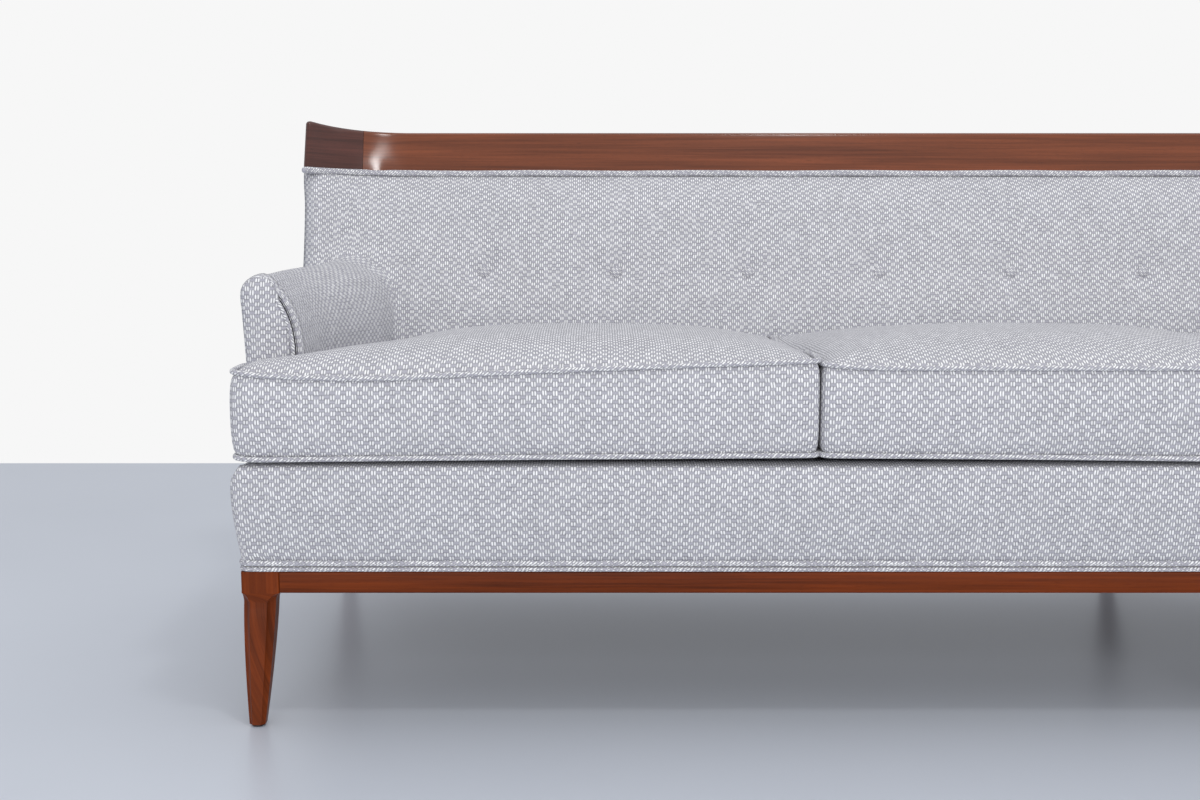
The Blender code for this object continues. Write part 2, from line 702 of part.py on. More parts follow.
def make_back_frame():
    top = CREST_BOTTOM - GAP
    low = LIP_BOTTOM + GAP
    lip = BACK_LIP + GAP
    outline = [raked(lip, low), raked(lip, top), (outside_inner(top), top), (outside_inner(low), low)]
    plate("back_frame_top_rail", outline, "x", -BACK_HALF, BACK_HALF, "frame_wood")
    foot = DECK_BOTTOM
    high = LIP_BOTTOM
    front = BACK_PAD + GAP
    depths = [raked(front, foot), raked(front, high)]
    depths += [(outside_inner(high), high), (outside_inner(foot), foot)]
    for hand, x in (("left", -POST_PLACE), ("middle", 0.0), ("right", POST_PLACE)):
        plate(f"{hand}_back_post", depths, "x", x - POST_WIDTH / 2, x + POST_WIDTH / 2, "frame_wood")


# Crest rail

def crest_section(u, shrink=0.0):
    """Upright section of the crest rail, thinner, taller and less set back towards its ends."""
    share = end_share(u)
    front = lerp(CREST_SETBACK, CREST_TIP_SETBACK, share) + shrink
    rear = lerp(CREST_SETBACK + CREST_THICKNESS, CREST_TIP_SETBACK + CREST_TIP_THICKNESS, share) - shrink
    low = CREST_BOTTOM + CREST_FOOT_RISE * share ** 2
    high = CREST_TOP + CREST_TOP_RISE * share ** 2 - shrink
    ease = min(CREST_ROUND, (rear - front) / 3)
    cut = ease * (1.0 - math.sqrt(0.5))
    section = [(front, low), (front, high - ease), (front + cut, high - cut), (front + ease, high),
               (rear - ease, high), (rear - cut, high - cut), (rear, high - ease), (rear, low)]
    return [back_point(u, t, z) for t, z in section]


def make_crest():
    joint = line_end(CREST_JOINT_ANGLE)
    end = line_end(CREST_END_ANGLE)
    bend = spread(BACK_HALF, joint, CREST_STEPS)
    stops = [-u for u in reversed(bend)] + bend
    loft("crest_rail", [crest_section(u) for u in stops], "wood")
    for hand, side in (("left", -1.0), ("right", 1.0)):
        stops = spread(joint + GAP, end - CREST_TIP_ROUND, CREST_STEPS)
        rings = [crest_section(side * u) for u in stops]
        rings.append(crest_section(side * end, CREST_TIP_THICKNESS / 4))
        loft(f"{hand}_crest_end", rings, "wood")
    make_crest_welt(end)


def make_crest_welt(end):
    bend = spread(BACK_HALF, end, 2 * CREST_STEPS)
    path = []
    for u in [-u for u in reversed(bend)] + bend:
        share = end_share(u)
        setback = lerp(CREST_SETBACK, CREST_TIP_SETBACK, share)
        path.append(back_point(u, setback, WELT_LINE + CREST_FOOT_RISE * share ** 2))
    tube("crest_welt", path, CREST_WELT_RADIUS, "fabric")


# Loose cushions

def rear_line(z):
    """Depth of a cushion's rear face, which leans with the back."""
    return raked(-BACK_CROWN - CUSHION_CLEARANCE, z)[0]


def cushion_rows():
    front = spread(0.0, EAR_DEPTH, CUSHION_EAR_ROWS)
    return front + spread(EAR_DEPTH, rear_line(CUSHION_TOP), CUSHION_REAR_ROWS)[1:]


def make_cushion(name, left_side, right_side, ear=0):
    """A boxed cushion from a coarse cage. The sides are functions of depth, and ear is -1, 0 or 1."""
    rows = cushion_rows()
    last = len(rows) - 1
    cells = {(i, j) for i in range(CUSHION_COLUMNS) for j in range(last)}
    if ear:
        column = -1 if ear < 0 else CUSHION_COLUMNS
        cells |= {(column, j) for j in range(CUSHION_EAR_ROWS)}
    edges = boundary_edges(cells)
    rim = {key for edge in edges for key in edge}

    def place(key, level):
        i, j = key
        z = lerp(CUSHION_BOTTOM, CUSHION_TOP, level)
        y = rear_line(z) if j == last else rows[j]
        share = i / CUSHION_COLUMNS
        along = rows[j] / rows[last]
        x = lerp(left_side(rows[j]), right_side(rows[j]), share)
        if i in (-1, CUSHION_COLUMNS + 1):
            x = ear * EAR_OUTER
        if j == 0:
            y += CUSHION_DRAW * 4.0 * share * (1.0 - share)
            y -= CUSHION_BULGE * 4.0 * level * (1.0 - level)
        if i == 0 and ear >= 0:
            x += CUSHION_DRAW * 4.0 * along * (1.0 - along)
        if i == CUSHION_COLUMNS and ear <= 0:
            x -= CUSHION_DRAW * 4.0 * along * (1.0 - along)
        if level == 1.0 and key not in rim:
            z += CUSHION_CROWN
        return (x, y, z)

    build_cage(name, cells, edges, rim, place)


def boundary_edges(cells):
    """Plan edges of the cells that belong to one cell only, each with its cell on the left."""
    edges = set()
    for i, j in cells:
        corners = [(i, j), (i + 1, j), (i + 1, j + 1), (i, j + 1)]
        for k in range(4):
            edge = (corners[k], corners[(k + 1) % 4])
            if edge[::-1] in edges:
                edges.remove(edge[::-1])
            else:
                edges.add(edge)
    return sorted(edges)


def build_cage(name, cells, edges, rim, place):
    bm = bmesh.new()
    edge_crease = bm.edges.layers.float.new("crease_edge")
    corner_crease = bm.verts.layers.float.new("crease_vert")
    keys = sorted({(i + a, j + b) for i, j in cells for a in (0, 1) for b in (0, 1)})
    bottom = {key: bm.verts.new(place(key, 0.0)) for key in keys}
    middle = {key: bm.verts.new(place(key, 0.5)) for key in sorted(rim)}
    top = {key: bm.verts.new(place(key, 1.0)) for key in keys}
    for i, j in sorted(cells):
        corners = [(i, j), (i + 1, j), (i + 1, j + 1), (i, j + 1)]
        bm.faces.new([top[key] for key in corners])
        bm.faces.new([bottom[key] for key in reversed(corners)])
    directions = {}
    for a, b in edges:
        bm.faces.new((bottom[a], bottom[b], middle[b], middle[a]))
        bm.faces.new((middle[a], middle[b], top[b], top[a]))
        for key in (a, b):
            directions.setdefault(key, set()).add((b[0] - a[0], b[1] - a[1]))
        for level in (bottom, top):
            bm.edges.get((level[a], level[b]))[edge_crease] = 1.0
    for key, ways in directions.items():
        if len(ways) > 1:
            for level in (bottom, top):
                level[key][corner_crease] = 1.0
                bm.edges.get((middle[key], level[key]))[edge_crease] = 1.0
    piece = add_piece(name, mesh_from(name, bm), "fabric")
    soften = piece.modifiers.new("soften", "SUBSURF")
    soften.levels = 1
    soften.render_levels = 1


def make_cushions():
    half_gap = CUSHION_GAP / 2

    def beside_arm(y):
        return arm_inside(y) - CUSHION_CLEARANCE

    near = CUSHION_WIDTH - half_gap
    far = CUSHION_WIDTH + half_gap
    make_cushion("seat_cushion_left", lambda y: -beside_arm(y), lambda y: -far, ear=-1)
    make_cushion("seat_cushion_center_left", lambda y: -near, lambda y: -half_gap)
    make_cushion("seat_cushion_center_right", lambda y: half_gap, lambda y: near)
    make_cushion("seat_cushion_right", lambda y: far, beside_arm, ear=1)


def make_sofa():
    make_base()
    make_base_welt()
    make_seat_frame()
    make_deck()
    make_back_pad()
    make_buttons()
    make_outside_back()
    make_back_frame()
    for hand, side in (("left", -1.0), ("right", 1.0)):
        make_arm(hand, side)
        make_wing(hand, side)
    make_crest()
    make_cushions()
    front = min(-CUSHION_BULGE, BAND_FRONT)
    crest_rear = raked(CREST_SETBACK + CREST_THICKNESS, CREST_TOP - CREST_ROUND)[0]
    rear = max(outside_depth(CREST_BOTTOM), crest_rear)
    ROOT.location.y = -(front + rear) / 2


make_sofa()
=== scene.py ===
import math

import bpy
import numpy as np
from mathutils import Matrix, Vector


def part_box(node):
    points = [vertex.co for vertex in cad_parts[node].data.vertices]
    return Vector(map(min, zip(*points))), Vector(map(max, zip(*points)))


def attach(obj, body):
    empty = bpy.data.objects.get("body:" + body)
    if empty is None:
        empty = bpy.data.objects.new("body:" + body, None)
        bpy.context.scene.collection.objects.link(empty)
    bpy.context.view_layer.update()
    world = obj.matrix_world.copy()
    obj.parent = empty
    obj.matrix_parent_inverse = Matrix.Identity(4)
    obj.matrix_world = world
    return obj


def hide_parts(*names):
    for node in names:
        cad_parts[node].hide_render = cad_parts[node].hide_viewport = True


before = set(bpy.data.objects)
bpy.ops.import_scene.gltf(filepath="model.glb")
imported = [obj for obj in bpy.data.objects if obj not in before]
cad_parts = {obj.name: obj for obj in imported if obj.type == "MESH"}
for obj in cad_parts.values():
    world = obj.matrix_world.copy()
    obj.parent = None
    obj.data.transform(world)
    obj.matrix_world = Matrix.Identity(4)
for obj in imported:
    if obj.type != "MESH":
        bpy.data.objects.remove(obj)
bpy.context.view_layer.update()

# Sizes of the frame, in metres. Depth runs from the cushions' front plane towards the rear.
BASE_HALF = 1.286
BASE_FRONT = 0.018
BASE_REAR = 0.652
APRON_BOTTOM = 0.165
APRON_TOP = 0.192
APRON_THICKNESS = 0.022
LEG_BLOCK = 0.0465
LEG_FOOT = 0.0195
FOOT_SPLAY = 0.006
FRONT_RAKE = -0.030
REAR_RAKE = 0.050
PANEL_BOTTOM = 0.2069
PANEL_OUTER = 1.2888
SIDE_SLOPE = 0.0503
DECK_TOP = 0.3269
BOARD_TOP = 0.505
SEAT_DEPTH = 0.535
SEAT_LINE = 0.447
RAKE = math.radians(22.0)
BACK_HALF = 1.155
WING_RADIUS = 0.1895
WING_BOTTOM = 0.5481
WING_ANGLE = math.radians(45.0)
BACK_TOP = 0.6745
BACK_TOP_DEPTH = 0.070
CORNER_BASE = 0.035
WING_EDGE_DEPTH = 0.032
CREST_BOTTOM = 0.6841
CREST_TOP = 0.7446
CREST_SETBACK = 0.028
CREST_THICKNESS = 0.024
CREST_TIP_SETBACK = 0.010
CREST_TIP_THICKNESS = 0.010
CREST_TOP_RISE = 0.0155
CREST_FOOT_RISE = 0.0050
CREST_JOINT_ANGLE = math.radians(20.0)
CREST_END_ANGLE = math.radians(46.0)
WELT_LINE = 0.6793
ARM_FRONT = 0.130
ARM_PANEL = 0.0145
ARM_INSIDE = 1.2315
CUSHION_WIDTH = 0.5845
CUSHION_GAP = 0.003
EAR_DEPTH = 0.124
EAR_OUTER = 1.2845
BUTTON_COUNT = 11
BUTTON_HEIGHT = 0.5265
BUTTON_PITCH = 0.2056
JOINT_GAP = 0.0006

BUTTON_PLACES = (np.arange(BUTTON_COUNT) - (BUTTON_COUNT - 1) / 2) * BUTTON_PITCH
HANDS = (("left", -1.0), ("right", 1.0))
ORIGIN_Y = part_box("front_apron")[0].y - BASE_FRONT


# Numbers

def lerp(a, b, share):
    return a + (b - a) * share


def smooth_step(low, high, value):
    share = np.clip((value - low) / (high - low), 0.0, 1.0)
    return share * share * (3.0 - 2.0 * share)


def shares(count):
    return np.linspace(0.0, 1.0, count)


def arch(share):
    """Nought at both ends and one in the middle."""
    return 4.0 * share * (1.0 - share)


def quarter(steps):
    """Angles from nought to a right angle."""
    return np.linspace(0.0, math.pi / 2, steps + 1)


def stack(*parts):
    """Coordinates, spread to one shape, as the last axis of one array."""
    return np.stack(np.broadcast_arrays(*parts), axis=-1)


def unit(vectors):
    return vectors / np.linalg.norm(vectors, axis=-1, keepdims=True)


def lengths(points):
    """Length run along a line of points, or down each column of a grid, nought at its start."""
    steps = np.linalg.norm(np.diff(points, axis=0), axis=-1)
    return np.concatenate([np.zeros_like(steps[:1]), np.cumsum(steps, axis=0)])


# Materials

class Nodes:
    """The node tree of a material or a world, with short ways to add nodes to it."""

    def __init__(self, owner):
        owner.use_nodes = True
        self.owner = owner
        self.tree = owner.node_tree

    def put(self, socket, value):
        if isinstance(value, bpy.types.NodeSocket):
            self.tree.links.new(value, socket)
        else:
            socket.default_value = value

    def fill(self, node, **inputs):
        for name, value in inputs.items():
            self.put(node.inputs[name.replace("_", " ")], value)
        return node

    def node(self, kind, **inputs):
        return self.fill(self.tree.nodes.new("ShaderNode" + kind), **inputs)

    def ordered(self, kind, *values):
        """A node whose inputs are filled in their order."""
        made = self.node(kind)
        for socket, value in zip(made.inputs, values):
            self.put(socket, value)
        return made

    def math(self, operation, *values):
        made = self.ordered("Math", *values)
        made.operation = operation
        return made.outputs[0]

    def times(self, value, factor):
        return self.math("MULTIPLY", value, factor)

    def between(self, share, low, high):
        return self.math("MULTIPLY_ADD", share, high - low, low)

    def blend(self, share, low, high, kind="MIX"):
        made = self.tree.nodes.new("ShaderNodeMix")
        made.data_type = "RGBA"
        made.blend_type = kind
        return self.fill(made, Factor=share, A=low, B=high).outputs["Result"]

    def combine(self, x, y, z=0.0):
        return self.node("CombineXYZ", X=x, Y=y, Z=z).outputs[0]

    def along(self):
        """UVs in metres, as two sockets."""
        split = self.node("SeparateXYZ", Vector=self.node("TexCoord").outputs["UV"])
        return split.outputs["X"], split.outputs["Y"]

    def noise(self, vector, scale, detail=2.0, roughness=0.5):
        made = self.node("TexNoise", Vector=vector, Scale=scale, Detail=detail, Roughness=roughness)
        return made.outputs["Fac"]

    def surface(self, **inputs):
        self.fill(self.tree.nodes["Principled BSDF"], **inputs)

    def bump(self, height, strength, distance):
        made = self.node("Bump", Height=height, Strength=strength, Distance=distance)
        self.surface(Normal=made.outputs["Normal"])


WEAVE_COLUMN = 0.00645
WEAVE_PERIOD = 0.0100
WEAVE_FLOAT = (0.594, 0.726)
WEAVE_SWAY = 0.0026
WEAVE_DRIFT = 0.5
WEAVE_LEAN = 0.34
WEAVE_UNDER = 0.42
WEAVE_UNDER_RISE = 2.6
WEAVE_FLECK_SCALE = 900.0
WEAVE_SWAY_SCALE = 38.0
WEAVE_CLOUD_SCALE = 4.0
WEAVE_DRIFT_SCALES = (3.7, 55.0)
WEAVE_STRAND_TONES = (0.90, 1.15)
WEAVE_GREY_TONES = (0.55, 1.45)
WEAVE_CELL_TONES = (0.90, 1.00)
WEAVE_FLECK_TONES = (0.90, 1.10)
WEAVE_CLOUD_TONES = (0.96, 1.04)
WEAVE_WHITE = (0.98, 0.98, 0.985, 1.0)
WEAVE_GREY = (0.475, 0.468, 0.520, 1.0)
WEAVE_GAP = (0.120, 0.118, 0.140, 1.0)


def make_weave(name):
    """Basket weave: pairs of white upright floats, staggered from column to column over grey level yarns."""
    nodes = Nodes(bpy.data.materials.new(name))
    op = nodes.math
    times = nodes.times
    between = nodes.between
    u, v = nodes.along()
    plain = nodes.combine(u, v)
    fleck = nodes.noise(plain, WEAVE_FLECK_SCALE)
    sway = between(nodes.noise(plain, WEAVE_SWAY_SCALE), -WEAVE_SWAY / 2, WEAVE_SWAY / 2)
    x = op("DIVIDE", op("ADD", u, sway), WEAVE_COLUMN)
    column = op("FLOOR", x)
    own_run = nodes.combine(times(column, WEAVE_DRIFT_SCALES[0]), times(v, WEAVE_DRIFT_SCALES[1]))
    drift = between(nodes.noise(own_run, scale=1.0), -WEAVE_DRIFT / 2, WEAVE_DRIFT / 2)
    stagger = times(op("FLOORED_MODULO", column, 2.0), 0.5)
    y = op("ADD", op("DIVIDE", v, WEAVE_PERIOD), op("ADD", stagger, drift))
    row = op("FLOOR", y)
    rise = op("SUBTRACT", op("SUBTRACT", y, row), 0.5)
    cell = nodes.node("TexWhiteNoise", Vector=nodes.combine(column, row)).outputs["Color"]
    chance = nodes.node("SeparateColor", Color=cell).outputs
    lean = between(chance["Red"], -WEAVE_LEAN / 2, WEAVE_LEAN / 2)
    across = op("ADD", op("SUBTRACT", x, column), op("MULTIPLY", lean, rise))
    across = op("MINIMUM", op("MAXIMUM", across, 0.0), 0.999)
    twin = times(across, 2.0)
    pair = op("FRACT", twin)
    strand = nodes.combine(op("ADD", times(column, 2.0), op("FLOOR", twin)), row, 7.0)
    bright = nodes.node("TexWhiteNoise", Vector=strand).outputs["Value"]
    edge = times(op("ABSOLUTE", rise), 2.0)
    reach = op("DIVIDE", edge, between(chance["Green"], *WEAVE_FLOAT))
    body = op("MAXIMUM", op("SUBTRACT", 1.0, op("POWER", reach, 4.0)), 0.0)
    yarn = times(op("MULTIPLY", pair, op("SUBTRACT", 1.0, pair)), 4.0)
    white = op("MULTIPLY", op("MULTIPLY", yarn, body), between(bright, *WEAVE_STRAND_TONES))
    white = op("MINIMUM", white, 1.0)
    level = op("MAXIMUM", times(op("SUBTRACT", edge, WEAVE_UNDER), WEAVE_UNDER_RISE), 0.0)
    grey = op("MULTIPLY", op("SMOOTH_MIN", level, 1.0, 0.2), between(fleck, *WEAVE_GREY_TONES))
    grey = op("MINIMUM", grey, 1.0)
    cloud = between(nodes.noise(plain, WEAVE_CLOUD_SCALE), *WEAVE_CLOUD_TONES)
    tone = op("MULTIPLY", between(chance["Blue"], *WEAVE_CELL_TONES), between(fleck, *WEAVE_FLECK_TONES))
    tone = op("MULTIPLY", tone, cloud)
    tint = nodes.node("CombineColor", Red=tone, Green=tone, Blue=tone).outputs[0]
    colour = nodes.blend(white, nodes.blend(grey, WEAVE_GAP, WEAVE_GREY), WEAVE_WHITE)
    nodes.surface(Base_Color=nodes.blend(1.0, colour, tint, "MULTIPLY"), Roughness=0.92,
                  Specular_IOR_Level=0.2, Sheen_Weight=0.12, Sheen_Roughness=0.5)
    height = op("ADD", white, times(grey, 0.45))
    nodes.bump(op("ADD", height, times(fleck, 0.15)), strength=0.45, distance=0.0010)
    return nodes.owner


def make_wood(name, dark, light, roughness, coat):
    """Polished wood with streaks along the grain, fine pores and slow changes of tone."""
    nodes = Nodes(bpy.data.materials.new(name))
    u, v = nodes.along()

    def grain(along, across, detail, fine=0.5):
        return nodes.noise(nodes.combine(nodes.times(u, along), nodes.times(v, across)), 1.0, detail, fine)

    bands = grain(along=1.6, across=45.0, detail=3.0, fine=0.55)
    lines = grain(along=5.0, across=240.0, detail=5.0, fine=0.6)
    pores = grain(along=70.0, across=1500.0, detail=2.0)
    mixed = nodes.math("ADD", nodes.times(bands, 0.55), nodes.times(lines, 0.45))
    tone = nodes.node("MapRange", Value=mixed, From_Min=0.38, From_Max=0.62)
    pit = nodes.node("MapRange", Value=pores, From_Min=0.60, From_Max=0.74, To_Max=0.55)
    pit_colour = tuple(0.35 * c for c in dark[:3]) + (1.0,)
    colour = nodes.blend(pit.outputs[0], nodes.blend(tone.outputs[0], dark, light), pit_colour)
    gloss = nodes.node("MapRange", Value=lines, To_Min=roughness - 0.05, To_Max=roughness + 0.08)
    nodes.surface(Base_Color=colour, Roughness=gloss.outputs[0], Specular_IOR_Level=0.08, Coat_Weight=coat,
                  Coat_Roughness=0.15)
    nodes.bump(nodes.math("SUBTRACT", lines, nodes.times(pores, 0.6)), strength=0.12, distance=0.0006)
    return nodes.owner


def make_plain(name, dark, light, roughness, scale, stretch=(1.0, 1.0, 1.0), detail=4.0, fine=0.6,
               relief=0.0004, metallic=0.0):
    """A plain finish with changes of tone, and of surface where it has relief."""
    nodes = Nodes(bpy.data.materials.new(name))
    place = nodes.node("Mapping", Vector=nodes.node("TexCoord").outputs["Object"], Scale=stretch)
    grain = nodes.noise(place.outputs[0], scale, detail, fine)
    nodes.surface(Base_Color=nodes.blend(grain, dark, light), Roughness=roughness, Metallic=metallic)
    if relief:
        nodes.bump(grain, strength=0.2, distance=relief)
    return nodes.owner


FABRIC = make_weave("basket_weave")
RAIL_WOOD = make_wood("rail_wood", (0.110, 0.026, 0.007, 1.0), (0.230, 0.058, 0.019, 1.0), 0.36, 0.9)
# The crest ends get a darker copy of the rail wood: a painted dark reflection on the ends that turn forward.
DARK_REFLECTION_END_WOOD = make_wood("crest_end_wood_painted_reflection", (0.047, 0.015, 0.010, 1.0), (0.109, 0.034, 0.024, 1.0), 0.36, 0.9)
BASE_WOOD = make_wood("base_wood", (0.080, 0.014, 0.0015, 1.0), (0.205, 0.036, 0.0045, 1.0), 0.38, 0.14)
FRAME_WOOD = make_plain("bare_wood", (0.36, 0.24, 0.13, 1.0), (0.60, 0.45, 0.28, 1.0), 0.75, 1.0,
                        stretch=(5.0, 70.0, 70.0), detail=5.0, relief=0.0005)
LINING = make_plain("lining", (0.03, 0.03, 0.034, 1.0), (0.06, 0.06, 0.066, 1.0), 0.9, 900.0)
WEBBING = make_plain("webbing", (0.30, 0.23, 0.14, 1.0), (0.56, 0.46, 0.32, 1.0), 0.9, 700.0)
GLIDE = make_plain("glide", (0.02, 0.02, 0.02, 1.0), (0.06, 0.055, 0.05, 1.0), 0.45, 400.0, metallic=0.6)
FLOOR = make_plain("floor", (0.58, 0.615, 0.675, 1.0), (0.65, 0.685, 0.745, 1.0), 0.32, 1.3, fine=0.55,
                   relief=0.0)


# Meshes

COVER_THICKNESS = 0.006
PANEL_THICKNESS = 0.004
WELT_SIDES = 8


def new_object(name, data):
    made = bpy.data.objects.new(name, data)
    bpy.context.scene.collection.objects.link(made)
    return made


def make_mesh(name, points, faces, corner_uvs, material):
    """A smooth mesh whose UVs are metres along the cloth or along the grain."""
    mesh = bpy.data.meshes.new(name)
    places = np.asarray(points, dtype=float).reshape(-1, 3) + np.array([0.0, ORIGIN_Y, 0.0])
    mesh.from_pydata(places.tolist(), [], faces)
    layer = mesh.uv_layers.new(name="along")
    layer.data.foreach_set("uv", np.asarray(corner_uvs, dtype=float).ravel())
    mesh.shade_smooth()
    mesh.materials.append(material)
    return mesh


def add_piece(name, points, faces, corner_uvs, material=FABRIC, slot="fabric", body="sofa_frame"):
    piece = new_object(name, make_mesh(name, points, faces, corner_uvs, material))
    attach(piece, body)
    return piece


def soften(piece):
    rounding = piece.modifiers.new("soften", "SUBSURF")
    rounding.levels = 1
    rounding.render_levels = 1


def grid_faces(points, uvs, closed=False, flip=False):
    """Faces and corner UVs of a grid, rows by columns. A closed grid joins its last column to its first."""
    rows, columns = points.shape[:2]
    faces = []
    corners = []
    for i in range(rows - 1):
        for j in range(columns if closed else columns - 1):
            ring = [(i, j), (i, j + 1), (i + 1, j + 1), (i + 1, j)]
            if flip:
                ring.reverse()
            faces.append([a * columns + b % columns for a, b in ring])
            corners.extend(uvs[a][b] for a, b in ring)
    return faces, corners


def tube(rings, uvs, ends=True, end_uv=lambda point: (0.0, 0.0)):
    """Points, faces and corner UVs of closed rings in a row, with flat ends where asked."""
    faces, corners = grid_faces(rings, uvs, closed=True)
    points = rings.reshape(-1, 3)
    count = rings.shape[1]
    if ends:
        for ring in (range(count)[::-1], range(len(points) - count, len(points))):
            faces.append(list(ring))
            corners.extend(end_uv(points[k]) for k in ring)
    return points, faces, corners


def cover(name, points, uvs, thickness=COVER_THICKNESS, flip=False):
    """A padded cover from one grid, thickened towards its inside."""
    piece = add_piece(name, points, *grid_faces(points, uvs, flip=flip))
    shell = piece.modifiers.new("thickness", "SOLIDIFY")
    shell.thickness = thickness
    shell.offset = -1.0
    return piece


def welt(name, path, radius, closed=False, up=(0.0, 0.0, 1.0), body="sofa_frame"):
    """A cord along a path, covered with cloth cut on the bias."""
    ahead = np.roll(path, -1, axis=0) - np.roll(path, 1, axis=0)
    if not closed:
        ahead[0] = path[1] - path[0]
        ahead[-1] = path[-1] - path[-2]
    ahead = unit(ahead)
    aside = unit(np.cross(ahead, up))
    above = np.cross(aside, ahead)
    turn = np.linspace(0.0, 2.0 * math.pi, WELT_SIDES + 1)
    round_turn = turn[:-1, None]
    around = np.cos(round_turn) * aside[:, None] + np.sin(round_turn) * above[:, None]
    rings = path[:, None] + radius * around
    run = lengths(path)
    if closed:
        rings = np.concatenate([rings, rings[:1]])
        run = np.append(run, run[-1] + np.linalg.norm(path[-1] - path[0]))
    run = run[:, None]
    girth = turn * radius
    points, faces, corners = tube(rings, stack(girth - run, run + girth) / math.sqrt(2.0), ends=not closed)
    if closed:
        points = points[:-WELT_SIDES]
        faces = [[k % len(points) for k in face] for face in faces]
    piece = add_piece(name, points, faces, corners, body=body)
    soften(piece)
    return piece


def loft(name, rings, material, sharp=None):
    """A solid through closed rings, with flat ends, its grain along the row and its sharper edges hard."""
    rings = np.asarray(rings, dtype=float)
    run = lengths(rings.mean(axis=1))[:, None]
    loops = np.concatenate([rings, rings[:, :1]], axis=1)
    girth = lengths(loops.swapaxes(0, 1)).T
    made = tube(rings, stack(run, girth), end_uv=lambda point: (point[2], point[0]))
    piece = add_piece(name, *made, material, "wood")
    if sharp:
        piece.data.set_sharp_from_angle(angle=math.radians(sharp))
    return piece


# Curved back

def turn_at(u):
    return np.maximum(np.abs(u) - BACK_HALF, 0.0) / WING_RADIUS


def line_end(angle):
    return BACK_HALF + WING_RADIUS * angle


def end_share(u):
    return np.minimum(turn_at(u) / CREST_END_ANGLE, 1.0)


def foot_rise(u):
    """How much higher the crest's foot lies towards its ends."""
    return CREST_FOOT_RISE * end_share(u) ** 2


def crest_setback(u):
    return lerp(CREST_SETBACK, CREST_TIP_SETBACK, end_share(u))


def raked(z):
    return SEAT_DEPTH + (z - SEAT_LINE) * math.tan(RAKE)


def back_points(u, t, z):
    """Points at length u along the back's line, t behind its front surface, at height z."""
    angle = turn_at(u)
    x = np.sign(u) * (np.minimum(np.abs(u), BACK_HALF) + (WING_RADIUS + t) * np.sin(angle))
    y = raked(z) + (WING_RADIUS + t) * np.cos(angle) - WING_RADIUS
    return stack(x, y, z)


BACK_CROWN = 0.008
BACK_WAVE = 0.0007
BACK_RIPPLE = 0.0005
BACK_COVER_BOTTOM = 0.3255
BACK_STEP = 0.0105
BACK_WING_START = 1.100
BACK_WING_STEPS = 34
BACK_ROWS = 72
BACK_ROLL_HEIGHT = 0.052
BACK_ROLL_PROUD = 0.0045
BACK_ROLL_POWER = 2.2
WING_ROUND = 0.012
WING_RETURN = 0.031
WING_INSET = 0.0025
WING_HEM = 0.012
WING_TUCK = 0.014
WING_TUCK_WIDTHS = (1.262, 1.290)
WING_TUCK_HEIGHTS = (0.478, 0.514)
WING_TOP_FLARE = 0.0035
TUFT_DEPTH = 0.0075
TUFT_REACH = 0.017
TUFT_SPREAD_DEPTH = 0.0042
TUFT_SPREAD = 0.050
TUFT_VALLEY = 0.0006
TUFT_VALLEY_REACH = 0.020


def back_surface(u, z):
    """Set-back of the padded back: a crown, tufts and slow unevenness."""
    middle = (DECK_TOP + BACK_TOP) / 2
    half = (BACK_TOP - DECK_TOP) / 2
    crown = -BACK_CROWN * (1.0 - ((z - middle) / half) ** 2)
    uneven = BACK_WAVE * np.sin(17.0 * u + 0.6) * np.sin(23.0 * z + 1.1)
    uneven = uneven + BACK_RIPPLE * np.sin(41.0 * u + 9.0 * z)
    drawn = np.zeros(np.broadcast(u, z).shape)
    for place in BUTTON_PLACES:
        away = (u - place) ** 2 + (z - BUTTON_HEIGHT) ** 2
        drawn += TUFT_DEPTH * np.exp(-away / TUFT_REACH ** 2)
        drawn += TUFT_SPREAD_DEPTH * np.exp(-away / TUFT_SPREAD ** 2)
    reach = BUTTON_PLACES[-1]
    valley = TUFT_VALLEY * np.exp(-((z - BUTTON_HEIGHT) / TUFT_VALLEY_REACH) ** 2)
    drawn += valley * (1.0 - smooth_step(reach, reach + BUTTON_PITCH / 2, np.abs(u)))
    return crown + drawn + uneven


def back_roll(u, z):
    """How far the back's top rolls to the rear to meet the crest rail."""
    top = BACK_TOP + foot_rise(u)
    share = np.clip((z - top + BACK_ROLL_HEIGHT) / BACK_ROLL_HEIGHT, 0.0, 1.0)
    return (crest_setback(u) - BACK_ROLL_PROUD) * share ** BACK_ROLL_POWER / np.cos(turn_at(u))


